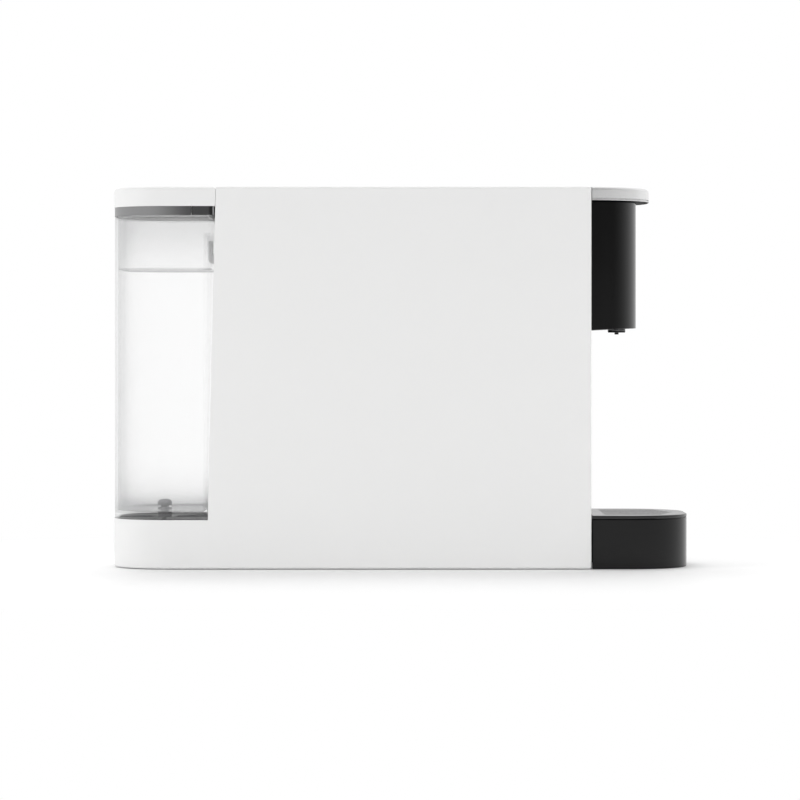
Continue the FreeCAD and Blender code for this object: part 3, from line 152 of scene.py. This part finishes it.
def moulding(name, colour, rough, spread, grain, depth, edge=0.0004, mottle=0.05, **values):
    """Moulded plastic or rubber, a little uneven in colour and gloss, with a fine grain and soft edges."""
    material, wire, shader = surface(name, **values)
    cloud = wire.noise(scale=28, detail=3)
    fine = wire.noise(grain, detail=3)
    tint = wire.blend(cloud, shade(colour, 1 - mottle), shade(colour, 1 + mottle))
    gloss = rough + (cloud - 0.5) * spread + (fine - 0.5) * (spread * 0.5)
    feed(wire, shader, Base_Color=tint, Roughness=gloss, Normal=wire.relief(fine, depth, 0.6, edge))
    return material


def dress(material, *names):
    """Gives CAD nodes this material and no other."""
    for name in names:
        slots = nodes[name].data.materials
        slots.clear()
        slots.append(material)


grained_black = moulding("grained_black", (0.020, 0.020, 0.021), rough=0.52, spread=0.12, grain=2600,
                         depth=0.00006, Specular_IOR_Level=0.35)
dress(grained_black, "base_plate", "inner_shelf")

# Feet and screws: four soft rubber pads pushed into the base plate, and four pan-head steel
# screws driven up through it into the legs of the shelf. Each head has a pressed cross recess,
# drawn as black bars of painted shade.

pad_rubber = moulding("pad_rubber", (0.030, 0.030, 0.031), rough=0.72, spread=0.14, grain=1500,
                      depth=0.00010, Specular_IOR_Level=0.3)
dress(pad_rubber, "rubber_feet")


def metal(name, colour, rough, streak):
    """Bright metal with fine streaks along one way and slightly rounded edges."""
    material, wire, shader = surface(name, Metallic=1.0)
    stretched = wire.node("Mapping", {"Vector": wire.place(), "Scale": streak})
    lines = wire.noise(scale=1.0, detail=4, vector=stretched)
    cloud = wire.noise(scale=60)
    tint = wire.blend(lines * 0.7 + cloud * 0.3, shade(colour, 0.86), shade(colour, 1.08))
    relief = wire.relief(lines, depth=0.00002, strength=0.5, edge=0.0002)
    feed(wire, shader, Base_Color=tint, Roughness=rough + (lines - 0.5) * 0.16, Normal=relief)
    return material


bright_steel = metal("bright_steel", (0.56, 0.56, 0.57), rough=0.26, streak=(4000, 300, 300))
dress(bright_steel, "case_screws")
# Black bars proud of each screw head: painted shade standing in for the cross recess.
recess_shade = moulding("recess_shade", (0.012, 0.012, 0.012), rough=0.6, spread=0.1, grain=3000,
                        depth=0.00003)


def step(tree, kind, sockets=None):
    """One node of a modifier's tree, with values or links on its sockets. Gives its first output."""
    made = tree.nodes.new(kind)
    for name, value in (sockets or {}).items():
        if isinstance(value, bpy.types.NodeSocket):
            tree.links.new(value, made.inputs[name])
        else:
            made.inputs[name].default_value = value
    return made.outputs[0]


def plain_mesh(source):
    """The bare mesh that an object's modifiers or curves come to. The object itself goes."""
    graph = bpy.context.evaluated_depsgraph_get()
    mesh = bpy.data.meshes.new_from_object(source.evaluated_get(graph), depsgraph=graph)
    mesh.materials.clear()
    bpy.data.objects.remove(source)
    return mesh


def placed(name, mesh, body, slot, *materials):
    """Makes a mesh an object at the origin, in these materials, that rides on a body."""
    mesh.name = name
    for material in materials:
        mesh.materials.append(material)
    piece = bpy.data.objects.new(name, mesh)
    bpy.context.scene.collection.objects.link(piece)
    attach(piece, body)


screw_low, screw_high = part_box("case_screws")
head_width = 0.0056
recess_sizes = {
    "Along": screw_high.x - screw_low.x - head_width,
    "Across": screw_high.y - screw_low.y - head_width,
    "Bar length": 0.0030,
    "Bar width": 0.0006,
    "Depth": 0.00012,
    "Middle": (screw_low.x + screw_high.x) / 2,
    "Level": screw_low.z,
}
recess_tree = bpy.data.node_groups.new("screw_recess", "GeometryNodeTree")
recess_tree.interface.new_socket("Geometry", in_out="OUTPUT", socket_type="NodeSocketGeometry")
for label in recess_sizes:
    recess_tree.interface.new_socket(label, in_out="INPUT", socket_type="NodeSocketFloat")
asked = recess_tree.nodes.new("NodeGroupInput").outputs
corners = step(recess_tree, "GeometryNodeMeshGrid", {"Vertices X": 2, "Vertices Y": 2,
                                                     "Size X": asked["Along"], "Size Y": asked["Across"]})
spot = step(recess_tree, "ShaderNodeCombineXYZ", {"X": asked["Middle"], "Z": asked["Level"]})
heads = step(recess_tree, "GeometryNodeTransform", {"Geometry": corners, "Translation": spot})
cross = recess_tree.nodes.new("GeometryNodeJoinGeometry")
for long_side, short_side in (("X", "Y"), ("Y", "X")):
    bar_size = step(recess_tree, "ShaderNodeCombineXYZ", {long_side: asked["Bar length"],
                                                          short_side: asked["Bar width"],
                                                          "Z": asked["Depth"]})
    bar = step(recess_tree, "GeometryNodeMeshCube", {"Size": bar_size})
    recess_tree.links.new(bar, cross.inputs[0])
crosses = step(recess_tree, "GeometryNodeInstanceOnPoints", {"Points": heads, "Instance": cross.outputs[0]})
real_crosses = step(recess_tree, "GeometryNodeRealizeInstances", {"Geometry": crosses})
recess_tree.links.new(real_crosses, recess_tree.nodes.new("NodeGroupOutput").inputs[0])
carrier = bpy.data.objects.new("recess_carrier", bpy.data.meshes.new("recess_carrier"))
bpy.context.scene.collection.objects.link(carrier)
growth = carrier.modifiers.new("grow", "NODES")
growth.node_group = recess_tree
for item in recess_tree.interface.items_tree:
    if item.in_out == "INPUT":
        growth[item.identifier] = recess_sizes[item.name]
placed("screw_recesses", plain_mesh(carrier), "machine", "steel", recess_shade)

# Water side: a brass-bodied pump with its coil on rubber mounts, a flow meter, a cast heater
# block, and black hoses pushed over stubs between them.

turned_brass = metal("turned_brass", (0.62, 0.46, 0.21), rough=0.3, streak=(3000, 200, 200))
dress(turned_brass, "pump_body")
cast_aluminium = metal("cast_aluminium", (0.58, 0.58, 0.60), rough=0.48, streak=(500, 500, 500))
dress(cast_aluminium, "heater_block")
dress(grained_black, "pump_coil", "flow_meter")
hose_rubber = moulding("hose_rubber", (0.036, 0.036, 0.037), rough=0.58, spread=0.12, grain=1800,
                       depth=0.00005)
dress(hose_rubber, "pump_mounts", "inlet_hose", "suction_hose", "pressure_hose", "brew_hose", "spigot_seal",
      "injector_seal")

# Electrics: lacquered boards with copper tracks under the lacquer, and blue-cased parts
# soldered on. The lead's gland is a grained black bush flush in the rear wall.


def lacquered_board():
    """Green lacquer over copper tracks that run along the board's own directions."""
    material, wire, shader = surface("board_green", Coat_Weight=0.4)
    layout = {"Vector": wire.place(), "Scale": 160.0, "Mortar Size": 0.06, "Mortar Smooth": 0.1, "Bias": 0.0}
    tracks = wire.node("TexBrick", layout, "Fac", offset=0.37, squash=1.7)
    cloud = wire.noise(scale=90)
    lacquer = wire.blend(cloud, (0.012, 0.115, 0.040, 1), (0.020, 0.160, 0.060, 1))
    tint = wire.blend(tracks, lacquer, (0.045, 0.240, 0.090, 1))
    relief = wire.relief(tracks, depth=0.00004, strength=0.6)
    feed(wire, shader, Base_Color=tint, Roughness=0.34 + cloud * 0.12, Normal=relief)
    return material


dress(lacquered_board(), "control_board", "button_board")
casing_blue = moulding("casing_blue", (0.030, 0.080, 0.250), rough=0.4, spread=0.1, grain=2200, depth=0.00004)
dress(casing_blue, "board_parts")
dress(grained_black, "lead_gland")

# Tank bay: a grey shelf, the white bulkhead that leans with the tank's front, a grey catch
# hooked to it, and the grey spigot that the tank's valve sits on.

gloss_white = moulding("gloss_white", (0.800, 0.800, 0.797), rough=0.30, spread=0.06, grain=900,
                       depth=0.00002, edge=0.0002, mottle=0.006, Coat_Weight=0.25, Coat_Roughness=0.12)
dress(gloss_white, "tank_bulkhead")


def shelf_finish():
    """Grained grey, with black strips along its middle and sides painted as shadow lines under the tank's
    floor.
    """
    material, wire, shader = surface("shelf_grey", Specular_IOR_Level=0.05)
    across = wire.math("ABSOLUTE", wire.axis("Y"))
    cloud = wire.noise(scale=60, detail=3)
    fine = wire.noise(scale=2200, detail=3)
    off_middle = wire.ramp(across, 0.004, 0.010)
    at_side = wire.ramp(across, 0.045, 0.051)
    # Painted shadow lines in black, along the middle and the sides.
    shadow_strip = 1 - off_middle * (1 - at_side)
    grey = (0.440, 0.440, 0.443, 1)
    shade_black = (0.010, 0.010, 0.010, 1)
    tint = wire.blend(shadow_strip * (0.92 + cloud * 0.08), grey, shade_black)
    gloss = 0.50 + shadow_strip * 0.20 + (fine - 0.5) * 0.1
    relief = wire.relief(fine, depth=0.00005, strength=0.6)
    feed(wire, shader, Base_Color=tint, Roughness=gloss, Normal=relief)
    return material


dress(shelf_finish(), "tank_shelf")
satin_grey = moulding("satin_grey", (0.225, 0.226, 0.232), rough=0.42, spread=0.10, grain=2000, depth=0.00004)
dress(satin_grey, "tank_spigot")
catch_grey = moulding("catch_grey", (0.620, 0.620, 0.625), rough=0.42, spread=0.10, grain=2000, depth=0.00004)
dress(catch_grey, "tank_catch")

# Case: two glossy white side mouldings and the low wall that joins them round the rear.
# They clip over the base plate and meet flush, so no seam shows on the outside.

dress(gloss_white, "case_side_left", "case_side_right", "case_rear")

# Brew group: a black frame that guides the pod cage, a grey cage on two racks, the fixed
# injection head with steel needles, and the sectors on the lever that mesh with the racks.

dress(grained_black, "brew_frame", "bin_tunnel", "coffee_funnel")
dress(satin_grey, "pod_cage", "injection_head", "rack_left", "rack_right", "sector_left", "sector_right",
      "hinge_brackets")
dress(bright_steel, "pod_needles", "strainer_plate", "lever_pin")

# Front: a glossy black panel above the drip tray, the brew head's cover clipped to it, a
# grained deck on top with the pod slot, and the spout in a grey collar under the head.

gloss_black = moulding("gloss_black", (0.0012, 0.0012, 0.0013), rough=0.18, spread=0.05, grain=1200,
                       depth=0.00001, edge=0.0006, mottle=0.1, Specular_IOR_Level=0.5)
dress(gloss_black, "front_panel", "brew_head_cover")
dress(grained_black, "pod_deck", "coffee_spout")
dress(satin_grey, "spout_collar")

# Lever: a black moulding that pivots at its rear, in silver lacquer that turns black where its
# surface faces down, and with a finely grained black panel let in underneath.


def silver_lacquer():
    """Silver lacquer with tiny flakes under a clear coat, turning black where the surface faces down."""
    material, wire, shader = surface("silver_lacquer", Coat_Roughness=0.1)
    flakes = wire.node("TexVoronoi", {"Vector": wire.place(), "Scale": 2400.0}, "Color")
    flake_light = wire.node("SeparateColor", {"Color": flakes})
    cloud = wire.noise(scale=40)
    sparkle = flake_light * 0.6 + cloud * 0.4
    silver = wire.blend(sparkle, (0.740, 0.740, 0.740, 1), (0.820, 0.820, 0.818, 1))
    # Black where the surface faces down, silver elsewhere.
    not_facing_down = wire.ramp(wire.axis("Z", "Normal"), -0.60, -0.30)
    tint = wire.blend(not_facing_down, (0.004, 0.004, 0.004, 1), silver)
    gloss = 0.93 - not_facing_down * 0.60 + (flake_light - 0.5) * 0.10
    relief = wire.relief(flake_light, depth=0.00001, strength=0.3, edge=0.0007)
    feed(wire, shader, Base_Color=tint, Metallic=not_facing_down * 0.54, Coat_Weight=not_facing_down * 0.35, Roughness=gloss,
         Normal=relief)
    return material


dress(silver_lacquer(), "brew_lever")
under_black = moulding("under_black", (0.006, 0.006, 0.006), rough=0.66, spread=0.10, grain=2400,
                       depth=0.00004, Specular_IOR_Level=0.15)
dress(under_black, "lever_underside")

# Top cover and brew buttons: a glossy white cover let into the case, with two glossy black
# buttons. A small cup is printed on one button and a tall cup on the other.

dress(gloss_white, "top_cover")
dress(gloss_black, "espresso_button", "lungo_button")
print_white = moulding("print_white", (0.70, 0.70, 0.69), rough=0.5, spread=0.1, grain=1500, depth=0.00001)


def printed_cup(name, node, half_top, half_foot, height, body):
    """A cup drawn in raised lines on a button: bowl, handle and saucer."""
    low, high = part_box(node)
    middle = (low + high) / 2
    rim = height / 2
    waist = half_top * 0.96
    bowl = [(rim, half_top), (0, waist), (-rim, half_foot), (-rim, -half_foot), (0, -waist), (rim, -half_top)]
    handle_middle = rim * 0.12
    handle_half = rim * 0.62
    handle_root = half_top * 0.97
    handle_reach = half_top * 0.62
    handle_steps = 8
    handle = []
    for number in range(handle_steps + 1):
        angle = math.pi * number / handle_steps
        handle_level = handle_middle + handle_half * math.cos(angle)
        handle.append((handle_level, handle_root + handle_reach * math.sin(angle)))
    saucer_level = -rim - 0.0009
    saucer_half = half_top * 1.15
    saucer = [(saucer_level, -saucer_half), (saucer_level, saucer_half)]
    line_radius = 0.00016
    drawing = bpy.data.curves.new(name, "CURVE")
    drawing.dimensions = "3D"
    drawing.bevel_depth = line_radius
    drawing.bevel_resolution = 2
    drawing.use_fill_caps = True
    for closed, points in ((True, bowl), (False, handle), (False, saucer)):
        line = drawing.splines.new("POLY")
        line.points.add(len(points) - 1)
        line.use_cyclic_u = closed
        for point, (along, across) in zip(line.points, points):
            point.co = (middle.x - along, middle.y + across, high.z, 1)
    sketch = bpy.data.objects.new(name + "_sketch", drawing)
    bpy.context.scene.collection.objects.link(sketch)
    placed(name, plain_mesh(sketch), body, "white_gloss", print_white)


printed_cup("espresso_mark", "espresso_button", half_top=0.0018, half_foot=0.0012, height=0.0030,
            body="espresso")
printed_cup("lungo_mark", "lungo_button", half_top=0.0021, half_foot=0.0015, height=0.0056, body="lungo")

# Water tank: a clear vessel blown to the case's outline, with a grey rim whose painted reflection
# turns it black at the front, a grey valve in its floor, and water in it to four fifths of its height.

vessel_low, vessel_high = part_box("tank_vessel")
water_floor = vessel_low.z + 0.0054
water_level = 0.2027


def clear_plastic():
    """Clear plastic with a faint veil of several films, which turns from white to grey as it thickens; it is
    thickened as painted shade under the lid, by the floor and along the corner.
    """
    material, wire, shader = surface("tank_clear", IOR=1.49)
    along = wire.axis("X")
    height = wire.axis("Z")
    flow = wire.noise(scale=14)
    # Painted shade on the dry wall above the water, deeper towards the top under the lid
    line_half = 0.001
    dry = wire.ramp(height, water_level - line_half, water_level + line_half)
    lid_shade = wire.ramp(height, water_level - 0.006, vessel_high.z)
    dry_wall_shade = dry * (0.026 + lid_shade * 0.084)
    # Painted shade that fades up the wall from the foot, most of it low down
    inside = wire.ramp(height, water_floor - 0.0026, water_floor - 0.0004)
    foot = 1 - wire.ramp(height, vessel_low.z + 0.002, vessel_low.z + 0.050)
    foot_shade = foot * foot * 0.10 + wire.math("POWER", foot, 14.0) * 0.20
    # Film on the floor itself, which faces up
    low_down = 1 - wire.ramp(height, water_floor + 0.0020, water_floor + 0.0060)
    bottom = wire.ramp(wire.axis("Z", "Normal"), 0.05, 0.40) * low_down
    # Painted shade along the corner where the wall meets the floor, fading out at the rear
    corner_top = 1 - wire.ramp(height, water_floor - 0.0004, water_floor + 0.0012)
    corner_foot = wire.ramp(height, water_floor - 0.0022, water_floor - 0.0012)
    corner_shade = corner_top * corner_foot * wire.ramp(along, vessel_low.x - 0.004, vessel_low.x + 0.022)
    low_film_and_shade = inside * foot_shade + bottom * 0.50 + corner_shade * 0.24
    # More plastic to look through where the rear turns away
    rear = 1 - wire.ramp(along, vessel_low.x + 0.010, vessel_low.x + 0.050)
    glancing = wire.node("LayerWeight", {"Blend": 0.5}, "Facing")
    rear_film = rear * glancing * glancing * 0.30
    film_and_shade = dry_wall_shade + low_film_and_shade + rear_film
    thick = wire.math("MINIMUM", film_and_shade * 7, 1.0)
    veil = wire.blend(thick, (0.91, 0.915, 0.92, 1), (0.49, 0.495, 0.50, 1))
    # The corner's painted shade turns the veil near black.
    tint = wire.blend(corner_shade, veil, (0.08, 0.08, 0.08, 1))
    relief = wire.relief(flow, depth=0.0001, strength=0.15)
    feed(wire, shader, Base_Color=tint, Alpha=film_and_shade + 0.032 + flow * 0.02, Roughness=0.06 + flow * 0.04,
         Normal=relief)
    return material


def rim_finish():
    """Satin grey, with a painted reflection that darkens it towards the front, where the rim nears the case,
    and pale on its inside.
    """
    material, wire, shader = surface("rim_grey")
    low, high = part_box("tank_collar")
    length = high.x - low.x
    # Painted reflection: grey at the rear, darkening towards the front.
    share = wire.ramp(wire.axis("X"), low.x + length * 0.45, high.x + length * 0.03)
    outside_with_reflection = wire.blend(share, (0.235, 0.235, 0.237, 1), (0.060, 0.060, 0.062, 1))
    middle = ((low.x + high.x) / 2, 0, low.z)
    outwards = wire.node("VectorMath", {0: wire.place(), 1: middle}, operation="SUBTRACT")
    facing = wire.place("Normal")
    turned = wire.node("VectorMath", {0: outwards, 1: facing}, "Value", operation="DOT_PRODUCT")
    tint = wire.blend(wire.ramp(turned, -0.012, -0.004), (0.840, 0.840, 0.840, 1), outside_with_reflection)
    fine = wire.noise(scale=2000)
    relief = wire.relief(fine, depth=0.00004, strength=0.5, edge=0.0004)
    feed(wire, shader, Base_Color=tint, Roughness=0.34 + fine * 0.08, Normal=relief)
    return material


def rim_end_finish():
    """Satin black, the dark end of the rim's painted reflection, with painted shade darkest near the case and
    a narrow pale edge painted on each side as light from the clear wall beyond.
    """
    material, wire, shader = surface("rim_black")
    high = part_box("collar_front")[1]
    along = wire.axis("X")
    across = wire.math("ABSOLUTE", wire.axis("Y"))
    fine = wire.noise(scale=2000)
    # Painted shade, darkest next to the case.
    shaded = wire.ramp(along, high.x - 0.0038, high.x - 0.0022)
    shade_black = wire.blend(shaded, (0.042, 0.042, 0.043, 1), (0.006, 0.006, 0.006, 1))
    # Painted light: a pale edge on each side for the clear wall seen beyond the band.
    at_end = wire.ramp(along, high.x - 0.0008, high.x - 0.0004)
    painted_light_end = at_end * wire.ramp(across, high.y - 0.0024, high.y - 0.0018)
    tint = wire.blend(painted_light_end * (0.9 + fine * 0.1), shade_black, (0.36, 0.36, 0.365, 1))
    relief = wire.relief(fine, depth=0.00004, strength=0.5, edge=0.0004)
    feed(wire, shader, Base_Color=tint, Roughness=0.33 + fine * 0.08, Normal=relief)
    return material


dress(clear_plastic(), "tank_vessel")
dress(rim_finish(), "tank_collar")
dress(rim_end_finish(), "collar_front")
dress(satin_grey, "valve_housing", "tank_valve")

wall = 0.0022
rear_round = 0.0343
lean_run = 0.0054
lean_rise = 0.2246
front_lean = lean_run / lean_rise
catch_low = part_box("tank_catch")[0]
catch_gap = 0.0010
duct_back = catch_low.x - catch_gap - wall
duct_half = 0.0107


def water_outline(level, inset):
    """The water's edge at a height, in by inset from the tank's inside and notched for the catch."""
    back = vessel_low.x + wall + inset
    side = vessel_high.y - wall - inset
    face = vessel_high.x - (vessel_high.z - level) * front_lean - wall - inset
    turn = rear_round - inset
    notch_back = duct_back - inset
    notch_half = duct_half + inset
    notch = [(face, -notch_half), (notch_back, -notch_half), (notch_back, notch_half), (face, notch_half)]
    points = notch + [(face, side)]
    steps = 24
    for centre_y, start in ((side - turn, math.pi / 2), (turn - side, math.pi)):
        for number in range(steps + 1):
            angle = start + math.pi / 2 * number / steps
            points.append((back + turn + turn * math.cos(angle), centre_y + turn * math.sin(angle)))
    points.append((face, -side))
    return points


def still_water(name, colour, depth, edge_depth, gloss):
    """Still water, clear face on and greyer at a glance, with the faintest ripple."""
    material, wire, shader = surface(name, IOR=1.333, Specular_IOR_Level=gloss)
    ripple = wire.noise(scale=9, detail=1)
    glancing = wire.node("LayerWeight", {"Blend": 0.5}, "Facing")
    tint = wire.blend(ripple, shade(colour, 0.96), shade(colour, 1.04))
    veil = depth + ripple * 0.006 + glancing * edge_depth
    relief = wire.relief(ripple, depth=0.0001, strength=0.1)
    feed(wire, shader, Base_Color=tint, Alpha=veil, Roughness=0.02 + ripple * 0.02, Normal=relief)
    return material


# Heights and insets of the water's edge: up the wall, over the meniscus and on to the flat surface
into_wall = 0.00015
meniscus = 0.0008
water_edges = (
    (water_floor - into_wall, -into_wall),
    (water_level + meniscus, -into_wall),
    (water_level + meniscus * 0.4, 0.0007),
    (water_level + meniscus * 0.1, 0.0016),
    (water_level, 0.0032),
)
shape = bmesh.new()
rings = []
for level, inset in water_edges:
    rings.append([shape.verts.new((x, y, level)) for x, y in water_outline(level, inset)])
for layer, (lower, upper) in enumerate(zip(rings, rings[1:])):
    for number in range(len(lower)):
        following = (number + 1) % len(lower)
        panel = shape.faces.new((lower[number], lower[following], upper[following], upper[number]))
        panel.material_index = min(layer, 1)
shape.faces.new(rings[0])
skin = shape.faces.new(rings[-1])
skin.material_index = 1
bmesh.ops.triangulate(shape, faces=[face for face in shape.faces if len(face.verts) > 4])
bmesh.ops.recalc_face_normals(shape, faces=shape.faces)
water_mesh = bpy.data.meshes.new("tank_water")
shape.to_mesh(water_mesh)
shape.free()
in_depth = still_water("still_water", (0.70, 0.71, 0.715), depth=0.004, edge_depth=0.01, gloss=0.5)
# The water's top is dark grey and near opaque at a glance: painted shade drawing the waterline.
on_top = still_water("water_skin", (0.25, 0.255, 0.26), depth=0.06, edge_depth=0.34, gloss=0.0)
placed("tank_water", water_mesh, "tank", "clear_plastic", in_depth, on_top)

# Tank lid: a glossy white cap in the case's outline, with a pale silicone ring round its
# inside that seals on the tank's wall.

dress(gloss_white, "tank_lid")


def pale_silicone():
    """Pale silicone with painted shade darkening it towards the top and a painted shadow line in a groove
    round it, thinning to a translucent lip at its foot.
    """
    material, wire, shader = surface("pale_silicone")
    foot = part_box("lid_seal")[0].z
    height = wire.axis("Z")
    share = wire.ramp(height, foot + 0.0003, foot + 0.0036)
    groove_level = foot + 0.0034
    groove_half = 0.0007
    # Painted shadow along a groove round the ring.
    below = wire.ramp(height, groove_level - groove_half, groove_level)
    groove_shadow = below * (1 - wire.ramp(height, groove_level, groove_level + groove_half))
    cloud = wire.noise(scale=40)
    # Painted shade: pale at the foot, darker towards the top.
    shaded_ring = wire.blend(share * 0.9 + cloud * 0.1, (0.93, 0.93, 0.92, 1), (0.52, 0.52, 0.52, 1))
    tint = wire.blend(groove_shadow, shaded_ring, (0.22, 0.22, 0.22, 1))
    feed(wire, shader, Base_Color=tint, Alpha=0.14 + share * 0.86, Roughness=0.46 + cloud * 0.08)
    return material


dress(pale_silicone(), "lid_seal")

# Drawer: the drip tray and the used-pod bin behind it in black plastic, pulled out as one,
# and a slotted black plate that lies on the tray.

tray_black = moulding("tray_black", (0.0016, 0.0016, 0.0017), rough=0.14, spread=0.05, grain=1600,
                      depth=0.00002, edge=0.0006, mottle=0.06, Specular_IOR_Level=0.30)
dress(tray_black, "drip_tray", "capsule_bin")
plate_black = moulding("plate_black", (0.0140, 0.0140, 0.0144), rough=0.22, spread=0.05, grain=2200,
                       depth=0.00001, edge=0.0006, mottle=0.06)
dress(plate_black, "cup_plate")

# Stage: a pale floor that takes the machine's shadow, a white surround, five soft lamps, and
# a camera that looks level at the machine's side.


def floor_finish():
    """Pale floor with a faint glow of its own near the machine, brighter past its ends as painted light that
    lifts the shadow there, and plain white further off.
    """
    material = bpy.data.materials.new("floor_pale")
    material.use_nodes = True
    tree = material.node_tree
    tree.nodes.remove(tree.nodes["Principled BSDF"])
    wire = Wire(tree)
    white = (1, 1, 1, 1)
    paint = wire.node("BsdfDiffuse", {"Color": (0.90, 0.90, 0.90, 1)})
    plain = wire.node("Emission", {"Color": white, "Strength": 1.0})
    seen = wire.math("MAXIMUM", wire.math("MAXIMUM", wire.ray("Camera"), wire.ray("Glossy")),
                     wire.ray("Transmission"))
    shadow_middle = -0.045
    past_end = wire.math("MAXIMUM", wire.math("ABSOLUTE", wire.axis("X")) - cad_high.x * 0.8, 0.0)
    past_side = wire.math("MAXIMUM", wire.math("ABSOLUTE", wire.axis("Y") - shadow_middle) - cad_high.y, 0.0)
    distance = wire.math("SQRT", past_end * past_end + past_side * past_side)
    white_from = 0.03
    white_at = 0.34
    far = wire.ramp(distance, white_from, white_at)
    # Painted light: the glow is stronger past the machine's ends, lifting its shadow there.
    glow_and_end_lift = 0.07 + wire.ramp(past_end, 0.0, 0.05) * 0.08
    glow = wire.node("Emission", {"Color": white, "Strength": seen * glow_and_end_lift})
    near = wire.node("AddShader", {0: paint, 1: glow})
    mixed = wire.node("MixShader", {0: seen * far, 1: near, 2: plain})
    tree.links.new(mixed.socket, tree.nodes["Material Output"].inputs["Surface"])
    return material


floor_mesh = bpy.data.meshes.new("floor")
reach = 4.0
floor_corners = [(-reach, -reach, 0), (reach, -reach, 0), (reach, reach, 0), (-reach, reach, 0)]
floor_mesh.from_pydata(floor_corners, [], [(0, 1, 2, 3)])
floor_mesh.materials.append(floor_finish())
floor = bpy.data.objects.new("floor", floor_mesh)
bpy.context.scene.collection.objects.link(floor)

world = bpy.data.worlds.new("studio")
bpy.context.scene.world = world
world.use_nodes = True
sky = Wire(world.node_tree)
light_level = 0.575
dark_level = 0.12
shown = sky.math("MAXIMUM", sky.ray("Camera"), sky.ray("Transmission"))
plain_level = light_level + shown * (1 - light_level)
behind = sky.ramp(sky.axis("Y", "Generated"), -0.60, 0.80)
reflected = dark_level + behind * (1 - dark_level)
level = plain_level + sky.ray("Glossy") * (reflected - plain_level)
backdrop = world.node_tree.nodes["Background"]
backdrop.inputs["Color"].default_value = (1, 1, 1, 1)
world.node_tree.links.new(level.socket, backdrop.inputs["Strength"])


def soft_light(name, place, aim, width, height, power, spread=180):
    """A soft lamp pointed at a spot, its light held to a cone of so many degrees."""
    lamp = bpy.data.lights.new(name, "AREA")
    lamp.shape = "RECTANGLE"
    lamp.size = width
    lamp.size_y = height
    lamp.energy = power
    lamp.spread = math.radians(spread)
    holder = bpy.data.objects.new(name, lamp)
    bpy.context.scene.collection.objects.link(holder)
    holder.location = place
    heading = (Vector(aim) - Vector(place)).to_track_quat("-Z", "Y")
    holder.rotation_euler = heading.to_euler()
    holder.visible_glossy = False


soft_light("top_light", (-0.1, 0.8, 1.9), aim=(0, 0, 0.1), width=1.2, height=1.2, power=18)
soft_light("rear_light", (-2.0, -1.0, 0.6), aim=(-0.1, 0, 0.06), width=1.0, height=1.0, power=17)
soft_light("front_light", (2.0, -0.9, 0.6), aim=(0.1, 0, 0.12), width=1.0, height=1.0, power=13)
soft_light("side_light", (0, -3.0, 0.2), aim=(0, 0, 0.02), width=1.2, height=1.2, power=5)
soft_light("low_light", (0, -1.6, 0.07), aim=(0, 0, 0.02), width=1.2, height=0.12, power=0.11, spread=36)

lens = bpy.data.cameras.new("camera")
lens.lens = 157.0
lens.sensor_width = 36.0
lens.shift_y = -0.0625
lens.clip_start = 0.05
lens.clip_end = 60.0
camera = bpy.data.objects.new("camera", lens)
bpy.context.scene.collection.objects.link(camera)
camera.location = (-0.0005, -2.407, 0.148)
camera.rotation_euler = (math.pi / 2, 0, 0)
bpy.context.scene.camera = camera
bpy.context.scene.view_settings.view_transform = "Standard"
bpy.context.scene.cycles.transparent_max_bounces = 24
